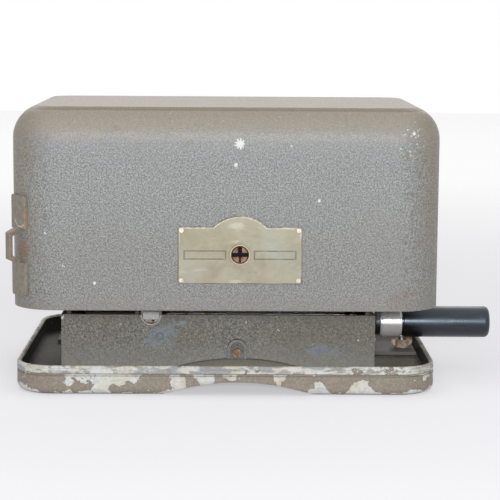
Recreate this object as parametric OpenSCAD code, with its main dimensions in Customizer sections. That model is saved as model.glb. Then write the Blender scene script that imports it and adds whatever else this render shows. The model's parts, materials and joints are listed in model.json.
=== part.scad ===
// Crank-driven cipher machine under a lift-off hood, standing on a tray.
// Millimetres. X to the right, Y to the back, Z up.
// Origin on the table, under the middle of the whole box. The dimensions below count X from
// the middle plane of the hood and the tray.

/* [Tray] */
// Outside width of the tray
tray_w = 236; // [230:1:250]
// Outside depth of the tray
tray_d = 170; // [166:1:186]
// Plan radius of the tray corners
tray_r = 22; // [14:1:30]
// Height of the rim above the table
rim_h = 16.4; // [14:0.2:18]
// Thickness of the tray wall and rim bead
tray_t = 2.4; // [1.8:0.2:3]
// Upper face of the tray floor
floor_z = 7; // [6:0.5:8]
// Thickness of the tray floor
floor_t = 1.6; // [1:0.2:2.4]
// Height of the groove under the rim bead
groove_z = 11.3; // [9:0.1:12]
// Depth of that groove
groove_d = 0.5; // [0.2:0.1:0.8]
// Width of that groove
groove_w = 1.2; // [0.4:0.1:1.6]
// Radius of the skirt where it turns in at the table
hem_r = 4; // [3:0.2:5]
// Width of the flat hem that stands on the table
hem_w = 3; // [2:0.2:4]
// Half width of the finger scoop in the front skirt
scoop_half = 43; // [25:1:50]
// Height of the finger scoop
scoop_h = 7.4; // [4:0.2:9]
// Middle of the finger scoop from the centre plane
scoop_x = 7; // [-20:1:20]
// Half width of the raised floor above the scoop
mound_half = 43; // [25:0.5:45]
// Rise of that raised floor
mound_h = 7.5; // [4:0.5:9]

/* [Lower housing] */
// Left face of the housing
body_x0 = -94.2; // [-98:0.2:-92]
// Room from the middle of the last pin wheel to the right face of the housing
wheel_room = 24.6; // [23:0.2:26]
// Front face of the housing
body_y0 = -51.7; // [-54:0.1:-50]
// Rear face of the housing
body_y1 = 52; // [51:0.5:56]
// Height of its upper edge above the table
body_z1 = 39.4; // [36:0.2:41]
// Thickness of its walls and floor
body_t = 3; // [2:0.2:3.4]
// Radius of the half-round notch in the front edge
notch_r = 5.2; // [4:0.1:6]
// Place of that notch along the front edge
notch_x = -42.8; // [-60:0.2:-30]
// Width of the spacer block behind the notch
block_w = 12; // [9:0.2:14]
// Rise of that block above the front edge
block_up = 2.2; // [0.5:0.1:4]
// Head diameter of the block screw
block_screw_d = 4.6; // [3:0.2:5]
// Head diameter of the front rivet
rivet_d = 3.6; // [2:0.1:6]

/* [Clamps] */
// Width of the front clamp lug
lug_w = 11; // [8:0.5:16]
// Height of the front clamp lug
lug_h = 11.2; // [9:0.2:14]
// Thickness of the front clamp lug
lug_t = 4; // [3:0.2:6]
// Place of the clamp lug along the front
lug_x = 6.5; // [-5:0.5:15]
// Head diameter of the clamp screw
lug_screw_d = 5; // [4:0.2:6]
// Stud diameter of the side clamps
stud_d = 5; // [4:0.2:6]
// Span of a wing nut
wing_span = 12.6; // [10:0.2:14]

/* [Hood] */
// Outside width of the hood
hood_w = 240; // [238:1:250]
// Outside depth of the hood
hood_d = 149; // [147:1:156]
// Front face of the hood
hood_y0 = -78.4; // [-82:0.2:-78]
// Lower edge of the hood above the table
hood_z0 = 46.5; // [44:0.5:48]
// Top of the hood above the table
hood_z1 = 159; // [154:1:170]
// Plan radius of its upright corners
hood_r = 25; // [20:1:28]
// Radius of its upper edges
hood_edge_r = 19; // [8:1:19.5]
// Drop of the top panel below the round of its edges, which leaves a soft crease
hood_break = 1; // [0.2:0.1:2]
// Sheet thickness of the hood
hood_t = 1.5; // [1:0.1:2]
// Room between the crank grip and the hood cut-out
sweep_gap = 3; // [2:0.1:4]

/* [Hood fittings] */
// Width of the bare plate on the front
plate_w = 68.8; // [50:0.2:90]
// Height of the bare plate without its arch
plate_h = 31.8; // [26:0.2:40]
// Radius of the arch above the lock
plate_arch_r = 21.4; // [18:0.2:26]
// Thickness of the bare plate
plate_t = 0.8; // [0.5:0.1:1.4]
// Middle of plate and lock from the centre plane
lock_x = 7.75; // [0:0.25:12]
// Height of the lock above the table
lock_z = 78.4; // [76:0.2:82]
// Diameter of the lock barrel
lock_d = 10; // [8:0.2:12]
// Head diameter of the plate rivets
plate_rivet_d = 2.5; // [1.6:0.1:4]
// Width of the strap loop pads
loop_w = 14.6; // [10:0.2:18]
// Width of the strap loop bridge
loop_bridge_w = 4.4; // [4:0.2:10]
// Thickness of the strap loop strip
loop_t = 2; // [1.4:0.1:3]
// Stand-off of the bridge for the strap
loop_out = 5.8; // [5:0.2:9]
// Direction of the loop around the corner, from the side
loop_a = 36; // [30:1:60]
// Lower end of the loop above the hood edge
loop_up = 7; // [2:0.2:10]
// Length of the strap loop
loop_len = 56.4; // [48:0.2:64]
// Corner radius of its pads
loop_corner = 1.8; // [0.6:0.1:4]

/* [Crank] */
// Crank axis from the centre plane, front to back
crank_y = -10; // [-12:0.5:-9]
// Crank axis above the table
crank_z = 57; // [56:0.5:60]
// Crank radius
crank_r = 28.2; // [26:0.2:28.4]
// Diameter of the grip
grip_d = 18.5; // [16:0.1:19.6]
// Length of the grip
grip_len = 52; // [40:1:60]
// Diameter of the ferrule
ferrule_d = 18.8; // [12:0.2:19.6]
// Length of the ferrule
ferrule_len = 12.8; // [8:0.2:16]
// Thickness of the crank arm
arm_t = 2.6; // [2.4:0.2:4]
// Diameter of the grip spindle
spindle_d = 6; // [4:0.2:8]

/* [Drum] */
// Outside radius of the drum end discs
drum_r = 26.6; // [25:0.2:27]
// Circle of the slide bars
bar_r = 23.4; // [21:0.2:23.6]
// Number of slide bars
bar_n = 27; // [20:1:30]
// Thickness of a slide bar
bar_t = 1.6; // [1.2:0.1:2]
// Height of a slide bar
bar_h = 4; // [3:0.2:4.4]
// Diameter of the drum shaft
drum_shaft_d = 10; // [8:0.2:12]

/* [Pin wheels] */
// Positions on each of the six wheels, left to right
wheel_n = [26, 25, 23, 21, 19, 17];
// Outside radius of a pin wheel
wheel_r = 20; // [17:0.5:20.5]
// Width of a pin wheel rim
wheel_w = 6; // [4:0.5:7]
// Spacing of the wheels on their shaft
wheel_pitch = 18; // [17:0.5:19]
// Middle of the first wheel from the centre plane
wheel_x = -29; // [-31:0.5:-28]
// Wheel axis, front to back
wheel_y = -34; // [-35:0.5:-33]
// Wheel axis above the table
wheel_z = 105; // [104:0.5:107]
// Diameter of the wheel shaft
wheel_shaft_d = 10; // [9:0.5:12]
// Diameter of one pin
pin_d = 1.8; // [1.2:0.1:2]
// Reach of a set pin beyond the rim
pin_out = 1.3; // [0.6:0.1:1.5]

/* [Printing unit] */
// Outside radius of the type wheel
type_r = 18; // [15:0.5:18]
// Radius of the indicator disc
disc_r = 20; // [17:0.5:21]
// Diameter of the setting knob
knob_d = 32; // [24:1:36]
// Outside radius of the paper roll
roll_r = 22; // [15:0.5:23]
// Width of the paper tape
tape_w = 9.6; // [8:0.2:11]
// Thickness of the paper tape
tape_t = 0.4; // [0.3:0.05:0.6]
// Teeth of the two equal setting gears
gear_n = 20; // [18:1:22]
// Gear module
gear_m = 1; // [0.9:0.05:1.05]
// Radius of a letter counter wheel
count_r = 8; // [6:0.5:8.5]

/* [Fits] */
// Radial gap of a turning fit
run_gap = 0.06; // [0.03:0.01:0.09]
// Gap between parts that sit on each other
seat_gap = 0.04; // [0.02:0.01:0.1]
// Gap between faces that pass each other
pass_gap = 0.6; // [0.4:0.1:1]

/* [View] */
// Sub-part to draw

/* [Hidden] */
$fn = 64;
eps = 0.01;

full = 360;
quarter = 90;
bt = body_t;

// The row of pin wheels sets the right face of the housing
last_wheel = wheel_x + (len(wheel_n) - 1) * wheel_pitch;
body_x1 = last_wheel + wheel_room;

// Frame plates
plate_x_t = 2.4;
left_x0 = body_x0 + bt + seat_gap;
left_x1 = left_x0 + plate_x_t;
right_x1 = body_x1 - bt - seat_gap;
right_x0 = right_x1 - plate_x_t;
mid_x0 = -52;
mid_x1 = mid_x0 + plate_x_t;
frame_z0 = floor_z + seat_gap + bt + seat_gap;
rest_z = 62;
rest_h = 8;
rest_end = 3.2;
frame_y0 = body_y0 + bt + seat_gap;
frame_y1 = body_y1 - bt - seat_gap;
frame_front = -62;
frame_top = 136;

// Hood
hood_y1 = hood_y0 + hood_d;
hood_yc = hood_y0 + hood_d / 2;
hood_in = hood_z1 - hood_t;
ledge_t = 1.6;
ledge_w = 17;
ledge_deep = 12.5;
ledge_h = 12;

// Shafts in the frame
tie_d = 6;
ties = [[-50, 70], [42, 108], [42, 48], [-50, 48]];
guide_y = -46;
guide_z = 81;
guide_d = 4;
feed_y = -4;
feed_z = 118;
feed_d = 4;
count_y = -38;
count_z = 66;
count_d = 4;
set_d = 6;
roll_y = 28;
roll_z = 75;
roll_pin_d = 8;
ink_r = 5;
ink_a = -20;
ink_y = wheel_y + (type_r + ink_r + pass_gap) * cos(ink_a);
ink_z = wheel_z + (type_r + ink_r + pass_gap) * sin(ink_a);
ink_d = 4;
mode_y = 25;
mode_z = 108;
mode_d = 6;
hammer_y = 6;
hammer_z = 129;
hammer_d = 4;
tape_z = wheel_z + type_r + pass_gap;
roller_y = -57;
roller_r = 6;
press_r = 5;
roller_d = 4;
roller_z = tape_z - tape_t / 2 - seat_gap - roller_r;
press_z = tape_z + tape_t / 2 + seat_gap + press_r;
tape_x = -68;
tape_bend_y = -14;
guide_pin_d = 3;
guide_pin_z = tape_z - tape_t / 2 - seat_gap - guide_pin_d / 2;

// Setting gears: the idler sits clear of the drum and in mesh with the setting gear
gear_r = gear_m * gear_n / 2;
gear_play = 0.2;
idler_far = drum_r + gear_r + 3;
idler_near = 2 * gear_r + gear_play;
dw_y = wheel_y - crank_y;
dw_z = wheel_z - crank_z;
dw = sqrt(dw_y * dw_y + dw_z * dw_z);
idler_along = (idler_far * idler_far - idler_near * idler_near + dw * dw) / (2 * dw);
idler_off = sqrt(max(0, idler_far * idler_far - idler_along * idler_along));
idler_y = crank_y + (idler_along * dw_y + idler_off * dw_z) / dw;
idler_z = crank_z + (idler_along * dw_z - idler_off * dw_y) / dw;
idler_a = atan2(idler_z - wheel_z, idler_y - wheel_y);
gear_gap = 0.8;
gear_w = 4;
gear_x = mid_x1 + gear_gap;

// Crank
arm_x0 = body_x1 + 3.6;
arm_x1 = arm_x0 + arm_t;
grip_x0 = arm_x1 + ferrule_len + 0.3;
grip_x1 = grip_x0 + grip_len;
grip_z = crank_z - crank_r;
sweep_r = crank_r + grip_d / 2 + sweep_gap;

// Drum
disc_t = 3;
disc_room = 9;
disc_x0 = wheel_x - disc_room;
disc_x1 = last_wheel + disc_room;
bar_over = 2.6;

// Widest reach to the left, over the bridge of a strap loop
reach_left = -hood_w / 2 + hood_r
    - (hood_r + loop_out + loop_t) * cos(loop_a - asin(loop_bridge_w / 2 / (hood_r + loop_out)));
frame_x = (grip_x1 + reach_left) / 2;

// Moves the model so that the origin is under the middle of its box
module placed() {
    translate([-frame_x, 0, 0])
        children();
}

// A cylinder along X between two places
module bar_x(r, x0, x1) {
    translate([x0, 0, 0])
        rotate([0, quarter, 0])
            cylinder(r = r, h = x1 - x0);
}

// A cylinder along Y between two places
module bar_y(r, y0, y1) {
    translate([0, y1, 0])
        rotate([quarter, 0, 0])
            cylinder(r = r, h = y1 - y0);
}

// A box between two corners
module block(a, b) {
    translate(a)
        cube(b - a);
}

// A flat outline in Y and Z, given a thickness along X
module sheet_x(x0, t) {
    translate([x0, 0, 0])
        rotate([quarter, 0, quarter])
            linear_extrude(height = t)
                children();
}

// A flat outline in X and Z, given a thickness along Y
module sheet_y(y0, t) {
    translate([0, y0 + t, 0])
        rotate([quarter, 0, 0])
            linear_extrude(height = t)
                children();
}

// Width of a link between its round ends, as a share of the end
link_waist = 0.97;

// A bar between two points of the Y-Z plane, round at both ends
module link_x(a, b, w, x0, t) {
    d = b - a;
    len = norm(d);
    half = w / 2 * link_waist;
    translate([0, a[0], a[1]])
        rotate([atan2(d[1], d[0]), 0, 0])
            block([x0, 0, -half], [x0 + t, len, half]);
    translate([0, a[0], a[1]])
        bar_x(w / 2, x0, x0 + t);
    translate([0, b[0], b[1]])
        bar_x(w / 2, x0, x0 + t);
}

// A flat plate with round plan corners
module slab(w, d, r, z0, z1) {
    block([-w / 2 + r, -d / 2, z0], [w / 2 - r, d / 2, z1]);
    block([-w / 2, -d / 2 + r, z0], [w / 2, d / 2 - r, z1]);
    for (sx = [-1, 1])
        for (sy = [-1, 1])
            translate([sx * (w / 2 - r), sy * (d / 2 - r), z0])
                cylinder(r = r, h = z1 - z0);
}

// Wall of the tray, outer face on the axis, with bead, groove and turned-in hem
module rim_outline() {
    difference() {
        union() {
            translate([-tray_t, hem_r])
                square([tray_t, rim_h - tray_t / 2 - hem_r]);
            intersection() {
                translate([-hem_r, hem_r])
                    difference() {
                        circle(r = hem_r);
                        circle(r = hem_r - tray_t);
                    }
                translate([-hem_r, 0])
                    square([hem_r, hem_r]);
            }
            translate([-hem_r - hem_w, 0])
                square([hem_w, tray_t]);
            translate([-tray_t / 2, rim_h - tray_t / 2])
                circle(d = tray_t);
        }
        translate([-groove_d, groove_z - groove_w / 2])
            square([2 * groove_d, groove_w]);
    }
}

// A straight run of that wall along X, outer face to the back
module rim_run(len) {
    translate([-len / 2, 0, 0])
        rotate([quarter, 0, quarter])
            linear_extrude(height = len)
                rim_outline();
}

mound_r = (mound_half * mound_half + mound_h * mound_h) / (2 * mound_h);
mound_top = floor_z + mound_h;
scoop_r = (scoop_half * scoop_half + scoop_h * scoop_h) / (2 * scoop_h);
tray_bite = 0.6;
skirt_in = -tray_d / 2 + tray_t;
hem_in = -tray_d / 2 + hem_r + hem_w;

// Tray: skirt with a rolled rim, floor, finger scoop and the raised floor over it
module tray() {
    color("gray") placed()
        difference() {
            union() {
                for (sx = [-1, 1])
                    for (sy = [-1, 1])
                        translate([sx * (tray_w / 2 - tray_r), sy * (tray_d / 2 - tray_r), 0])
                            rotate([0, 0, sy > 0 ? (sx > 0 ? 0 : quarter) : (sx > 0 ? 3 * quarter : 2 * quarter)])
                                rotate_extrude(angle = quarter)
                                    translate([tray_r, 0])
                                        rim_outline();
                for (turn = [0, 2])
                    rotate([0, 0, turn * quarter])
                        translate([0, tray_d / 2, 0])
                            rim_run(tray_w - 2 * tray_r);
                for (turn = [1, 3])
                    rotate([0, 0, turn * quarter])
                        translate([0, tray_w / 2, 0])
                            rim_run(tray_d - 2 * tray_r);
                slab(tray_w - 2 * tray_t + tray_bite, tray_d - 2 * tray_t + tray_bite,
                    tray_r - tray_t + tray_bite / 2, floor_z - floor_t, floor_z);
                intersection() {
                    translate([scoop_x, 0, mound_top - mound_r])
                        bar_y(mound_r, skirt_in - tray_bite / 2, body_y0 - 2 * seat_gap);
                    block([scoop_x - mound_half - 1, -tray_d, floor_z - floor_t / 2],
                        [scoop_x + mound_half + 1, 0, rim_h]);
                }
            }
            translate([scoop_x, 0, mound_top - mound_r])
                bar_y(mound_r - floor_t, skirt_in, body_y0 - 2 * seat_gap - floor_t);
            translate([scoop_x, 0, scoop_h - scoop_r])
                bar_y(scoop_r, -tray_d, hem_in + eps);
            for (c = clamps)
                translate([c[0], c[1], 0])
                    cylinder(d = stud_d + 2 * seat_gap, h = floor_z + 1);
        }
}

body_z0 = floor_z + seat_gap;
foot_t = 2;
foot_in = 0.8;
foot_x = tray_w / 2 - tray_t - foot_in;
right_foot_y = [-4, 28];
left_foot_y = [30, 58];
wing_room = 1;
right_clamp_y = 11.6;
left_clamp_y = 44;
nut_d = stud_d + 3.4;
left_foot_x = body_x0 - nut_d - 2 * wing_room;
clamps = [[foot_x - wing_span / 2 - wing_room, right_clamp_y, 0],
    [(body_x0 + left_foot_x) / 2, left_clamp_y, quarter]];
lug_z0 = mound_top + seat_gap;
lug_screw_z = lug_z0 + 3.6;
screw_d = 3.4;
block_screw_z = body_z1 - notch_r + block_screw_d / 2 + 0.2;
rivet_x = -37.7;
rivet_z = 27.1;
side_screws = [[-34, 22], [34, 22]];

// Lower housing: open box with feet, front notch and screw holes
module lower_housing() {
    color("dimgray") placed()
        difference() {
            union() {
                block([body_x0, body_y0, body_z0], [body_x1, body_y1, body_z1]);
                block([body_x1 - bt, right_foot_y[0], body_z0], [foot_x, right_foot_y[1], body_z0 + foot_t]);
                block([left_foot_x, left_foot_y[0], body_z0], [body_x0 + bt, left_foot_y[1], body_z0 + foot_t]);
                block([body_x0, body_y1 - bt, body_z0], [body_x0 + bt, left_foot_y[1], body_z0 + foot_t]);
            }
            block([body_x0 + bt, body_y0 + bt, body_z0 + bt], [body_x1 - bt, body_y1 - bt, body_z1 + 1]);
            translate([notch_x, 0, body_z1])
                bar_y(notch_r, body_y0 - 1, body_y0 + bt + eps);
            translate([rivet_x, 0, rivet_z])
                bar_y(rivet_d / 4 + seat_gap, body_y0 - 1, body_y0 + bt + eps);
            translate([lug_x, 0, lug_screw_z])
                bar_y(screw_d / 2 + seat_gap, body_y0 - 1, body_y0 + bt + eps);
            for (c = clamps)
                translate([c[0], c[1], 0])
                    cylinder(d = stud_d + 2 * seat_gap, h = body_z1);
            for (s = side_screws)
                translate([0, s[0], s[1]]) {
                    bar_x(screw_d / 2 + seat_gap, body_x0 - 1, body_x0 + bt + eps);
                    bar_x(screw_d / 2 + seat_gap, body_x1 - bt - eps, body_x1 + 1);
                }
        }
}

block_deep = 8;
block_y0 = body_y0 + bt + seat_gap;
lip_in = 1.4;
lip_t = 0.8;
lip_drop = 2.6;
lip_y0 = body_y0 - seat_gap - lip_t;

// Lip of the spacer block, over the front edge and down in front of it
module lip_outline() {
    polygon([[lip_y0, body_z1 - lip_drop], [lip_y0 + lip_t, body_z1 - lip_drop],
        [lip_y0 + lip_t, body_z1 + seat_gap], [block_y0 + eps, body_z1 + seat_gap],
        [block_y0 + eps, body_z1 + block_up], [lip_y0, body_z1 + block_up]]);
}

// Spacer block behind the front notch, its lip resting on the front edge
module spacer_block() {
    color("lightgray") placed()
        difference() {
            union() {
                block([notch_x - block_w / 2, block_y0, body_z1 - block_deep],
                    [notch_x + block_w / 2, block_y0 + block_deep, body_z1 + block_up]);
                sheet_x(notch_x - block_w / 2 + lip_in, block_w - 2 * lip_in)
                    lip_outline();
            }
            translate([notch_x, 0, block_screw_z])
                bar_y(screw_d / 2 + seat_gap, block_y0 - 1, block_y0 + block_deep + 1);
        }
}

slot_w = 0.9;

// Slotted round-head screw pointing to the back, head in front of a face
module front_screw(face_y, d, head, shank) {
    difference() {
        union() {
            bar_y(d / 2, face_y - head, face_y);
            bar_y(screw_d / 2, face_y - eps, face_y + shank);
        }
        block([-d, face_y - head - 1, -slot_w / 2], [d, face_y - head * 0.55, slot_w / 2]);
    }
}

// Screw of the spacer block
module block_screw() {
    color("silver") placed()
        translate([notch_x, 0, block_screw_z])
            rotate([0, 35, 0])
                front_screw(block_y0 - seat_gap, block_screw_d, 1.8, block_deep - 1);
}

// Rivet in the front wall
module front_rivet() {
    color("gray") placed()
        translate([rivet_x, 0, rivet_z]) {
            bar_y(rivet_d / 2, body_y0 - 0.9, body_y0 - seat_gap);
            bar_y(rivet_d / 4, body_y0 - seat_gap - eps, body_y0 + bt);
        }
}

lug_y0 = body_y0 - seat_gap - lug_t;
lug_rim = 1.5;
lug_deep = 1.2;

// Arch outline with a flat foot
module arch(w, h) {
    translate([-w / 2, 0])
        square([w, h - w / 2]);
    translate([0, h - w / 2])
        circle(d = w);
}

// Front clamp lug with a raised rim and a slot
module clamp_lug() {
    color("gray") placed()
        translate([lug_x, 0, lug_z0])
            difference() {
                sheet_y(lug_y0, lug_t)
                    arch(lug_w, lug_h);
                sheet_y(lug_y0 - 1, lug_deep + 1)
                    translate([0, -1])
                        arch(lug_w - 2 * lug_rim, lug_h - lug_rim + 1);
                translate([0, 0, lug_screw_z - lug_z0])
                    bar_y(screw_d / 2 + seat_gap, lug_y0 - 1, body_y0);
                block([-slot_w, lug_y0, lug_screw_z - lug_z0], [slot_w, body_y0, lug_h - lug_rim - 1.4]);
            }
}

// Screw of the front clamp lug
module clamp_screw() {
    color("peru") placed()
        translate([lug_x, 0, lug_screw_z])
            rotate([0, 70, 0])
                front_screw(lug_y0 + lug_deep - seat_gap, lug_screw_d, 2.2, lug_t - lug_deep + bt);
}

stud_top = 16.2;

// Studs of the two side clamps, riveted through the tray floor
module clamp_studs() {
    color("silver") placed()
        for (c = clamps)
            translate([c[0], c[1], 0]) {
                translate([0, 0, floor_z - floor_t - 1.2])
                    cylinder(d = stud_d + 3, h = 1.2 - seat_gap);
                translate([0, 0, floor_z - floor_t - 1])
                    cylinder(d = stud_d, h = stud_top - floor_z + floor_t + 1);
            }
}

nut_z0 = body_z0 + foot_t + seat_gap;
nut_h = 4.6;
wing_t = 2;
wing_z = 1.2;
wing_h = 7.4;
wing_cut = 0.4;
wing_r = 2.4;

// Outline of one wing in X and Z, with a round outer end
module wing_outline() {
    inner = stud_d / 2 + wing_cut;
    difference() {
        union() {
            translate([inner, wing_z])
                square([wing_span / 2 - wing_r - inner, wing_h - wing_z - wing_r / 2]);
            translate([wing_span / 2 - wing_r, wing_z])
                square([wing_r, wing_h - wing_z - wing_r]);
            translate([wing_span / 2 - wing_r, wing_h - wing_r])
                circle(r = wing_r);
        }
        translate([wing_span / 2, wing_z])
            circle(r = wing_r / 2);
    }
}

// Wing nuts on those studs
module wing_nuts() {
    color("peru") placed()
        for (c = clamps)
            translate([c[0], c[1], nut_z0])
                rotate([0, 0, c[2]])
                    difference() {
                        union() {
                            cylinder(d = nut_d, h = nut_h);
                            for (turn = [0, 2])
                                rotate([0, 0, turn * quarter])
                                    sheet_y(-wing_t / 2, wing_t)
                                        wing_outline();
                        }
                        translate([0, 0, -1])
                            cylinder(d = stud_d + 2 * seat_gap, h = wing_h + 2);
                    }
}

// Screws that hold the frame plates to the housing sides
module frame_screws() {
    color("silver") placed()
        for (s = side_screws)
            translate([0, s[0], s[1]])
                for (side = [-1, 1]) {
                    face = side > 0 ? body_x1 + seat_gap : -body_x0 + seat_gap;
                    mirror([side > 0 ? 0 : 1, 0, 0])
                        difference() {
                            union() {
                                bar_x(screw_d, face, face + 1.5);
                                bar_x(screw_d / 2, face - bt - plate_x_t, face + eps);
                            }
                            block([face + 0.8, -screw_d - 1, -slot_w / 2], [face + 2, screw_d + 1, slot_w / 2]);
                        }
                }
}

rest_front = hood_y0 + hood_t + rest_end;
rest_back = hood_y1 - hood_t - rest_end;

// Outline of a frame plate in Y and Z, with four arms that carry the hood
module frame_outline() {
    polygon([[frame_y0, frame_z0], [frame_y1, frame_z0], [frame_y1, rest_z - rest_h - 6],
        [rest_back, rest_z - rest_h], [rest_back, rest_z], [frame_y1, rest_z],
        [frame_y1, frame_top - 24], [16, frame_top], [frame_front + 4, frame_top],
        [frame_front, frame_top - 4], [frame_front, rest_z], [rest_front, rest_z],
        [rest_front, rest_z - rest_h], [frame_front, rest_z - rest_h - 8], [frame_y0, body_z1 + 4]]);
}

// A bored frame plate
module frame_plate(x0) {
    difference() {
        sheet_x(x0, plate_x_t)
            frame_outline();
        translate([0, crank_y, crank_z])
            bar_x(drum_shaft_d / 2 + run_gap, x0 - 1, x0 + plate_x_t + 1);
        for (t = ties)
            translate([0, t[0], t[1]])
                bar_x(tie_d / 2 + seat_gap, x0 - 1, x0 + plate_x_t + 1);
        for (s = side_screws)
            translate([0, s[0], s[1]])
                bar_x(screw_d / 2 + seat_gap, x0 - 1, x0 + plate_x_t + 1);
        children();
    }
}

// Round hole through the left part of the frame
module hole_x(y, z, r, x0, x1) {
    translate([0, y, z])
        bar_x(r, x0 - 1, x1 + 1);
}

// Left frame plate
module left_plate() {
    color("silver") placed()
        frame_plate(left_x0) {
            hole_x(wheel_y, wheel_z, set_d / 2 + run_gap, left_x0, left_x1);
            hole_x(roll_y, roll_z, roll_pin_d / 2 + seat_gap, left_x0, left_x1);
            hole_x(ink_y, ink_z, ink_d / 2 + seat_gap, left_x0, left_x1);
            hole_x(count_y, count_z, count_d / 2 + seat_gap, left_x0, left_x1);
            hole_x(tape_bend_y, guide_pin_z, guide_pin_d / 2 + seat_gap, left_x0, left_x1);
            hole_x(hammer_y, hammer_z, hammer_d / 2 + seat_gap, left_x0, left_x1);
            hole_x(roller_y, roller_z, roller_d / 2 + run_gap, left_x0, left_x1);
            hole_x(mode_y, mode_z, mode_d / 2 + run_gap, left_x0, left_x1);
        }
}

// Middle frame plate between printing unit and drum
module middle_plate() {
    color("silver") placed()
        frame_plate(mid_x0) {
            hole_x(wheel_y, wheel_z, set_d / 2 + run_gap, mid_x0, mid_x1);
            hole_x(count_y, count_z, count_d / 2 + seat_gap, mid_x0, mid_x1);
            hole_x(tape_bend_y, guide_pin_z, guide_pin_d / 2 + seat_gap, mid_x0, mid_x1);
            hole_x(hammer_y, hammer_z, hammer_d / 2 + seat_gap, mid_x0, mid_x1);
            hole_x(roller_y, roller_z, roller_d / 2 + run_gap, mid_x0, mid_x1);
            hole_x(guide_y, guide_z, guide_d / 2 + seat_gap, mid_x0, mid_x1);
            hole_x(feed_y, feed_z, feed_d / 2 + seat_gap, mid_x0, mid_x1);
            hole_x(idler_y, idler_z, stud_r + seat_gap, mid_x0, mid_x1);
            block([mid_x0 - 1, rest_front - 1, 0], [mid_x1 + 1, frame_front + 3, rest_z + 1]);
            block([mid_x0 - 1, frame_y1 - 1, 0], [mid_x1 + 1, rest_back + 1, rest_z + 1]);
        }
}

// Right frame plate
module right_plate() {
    color("silver") placed()
        frame_plate(right_x0) {
            hole_x(wheel_y, wheel_z, wheel_shaft_d / 2 + seat_gap, right_x0, right_x1);
            hole_x(guide_y, guide_z, guide_d / 2 + seat_gap, right_x0, right_x1);
            hole_x(feed_y, feed_z, feed_d / 2 + seat_gap, right_x0, right_x1);
        }
}

tie_nut_d = 10;
tie_nut_t = 2.8;

// Tie rods through the three plates, with hexagon nuts
module tie_rods() {
    color("silver") placed()
        for (t = ties)
            translate([0, t[0], t[1]]) {
                bar_x(tie_d / 2, left_x0 - tie_nut_t, right_x1 + tie_nut_t);
                for (x0 = [left_x0 - tie_nut_t - seat_gap, right_x1 + seat_gap])
                    translate([x0, 0, 0])
                        rotate([0, quarter, 0])
                            difference() {
                                cylinder(d = tie_nut_d, h = tie_nut_t, $fn = 6);
                                translate([0, 0, -1])
                                    cylinder(d = tie_d + 2 * seat_gap, h = tie_nut_t + 2);
                            }
            }
}

hub_r = 9.5;
arm_end_r = 8;
arm_half = arm_end_r * link_waist;
cap_t = 1.6;

// Crank arm, hanging straight down
module crank_arm() {
    color("black") placed()
        difference() {
            union() {
                translate([0, crank_y, crank_z])
                    bar_x(hub_r, arm_x0, arm_x1);
                translate([0, crank_y, grip_z])
                    bar_x(arm_end_r, arm_x0, arm_x1);
                block([arm_x0, crank_y - arm_half, grip_z], [arm_x1, crank_y + arm_half, crank_z]);
            }
            hole_x(crank_y, crank_z, drum_shaft_d / 2 + seat_gap, arm_x0, arm_x1);
            hole_x(crank_y, grip_z, spindle_d / 2 + seat_gap, arm_x0, arm_x1);
        }
}

spindle_x1 = grip_x1 - 8;
ferrule_edge = 0.8;

// Plated ferrule, turned in one piece with the spindle of the grip
module crank_ferrule() {
    color("gainsboro") placed()
        translate([0, crank_y, grip_z]) {
            bar_x(spindle_d / 2, arm_x0, spindle_x1);
            bar_x(ferrule_d / 2 - ferrule_edge, arm_x1 + seat_gap, arm_x1 + ferrule_len);
            bar_x(ferrule_d / 2, arm_x1 + seat_gap + ferrule_edge, arm_x1 + ferrule_len - ferrule_edge);
        }
}

grip_round = 3;
grip_edge = 0.8;

// Outline of the grip along its axis
module grip_outline() {
    difference() {
        union() {
            square([grip_d / 2 - grip_round, grip_len]);
            translate([0, grip_edge])
                square([grip_d / 2, grip_len - grip_round - grip_edge]);
            square([grip_d / 2 - grip_edge, grip_edge + eps]);
            translate([grip_d / 2 - grip_round, grip_len - grip_round])
                circle(r = grip_round);
        }
        translate([-grip_d, -eps])
            square([grip_d + spindle_d / 2 + run_gap, spindle_x1 - grip_x0 + 0.4]);
        translate([-grip_d, -grip_d])
            square([grip_d, grip_len + 2 * grip_d]);
    }
}

// Grip that turns on its spindle
module crank_grip() {
    color("black") placed()
        translate([grip_x0, crank_y, grip_z])
            rotate([0, quarter, 0])
                rotate_extrude()
                    grip_outline();
}

finger_r = 20.4;
finger_w = 4;
count_w = 6;
count_pitch = 7;
count_x = -58;

// Drum shaft with crank cap and the finger that trips the counter
module drum_shaft() {
    color("silver") placed()
        translate([0, crank_y, crank_z]) {
            bar_x(drum_shaft_d / 2, left_x0 - 1, arm_x1 + cap_t);
            bar_x(drum_shaft_d / 2 + 2, arm_x1 + seat_gap, arm_x1 + cap_t);
            bar_x(drum_shaft_d / 2 + 4, count_x - finger_w, count_x + finger_w);
            block([count_x - finger_w / 2, -finger_w / 2, 0], [count_x + finger_w / 2, finger_w / 2, finger_r]);
        }
}

cam_x0 = disc_x1 + disc_t + bar_over + pass_gap;
cam_t = 2;
cam_off = 3.6;
cam_r = 24;

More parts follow.
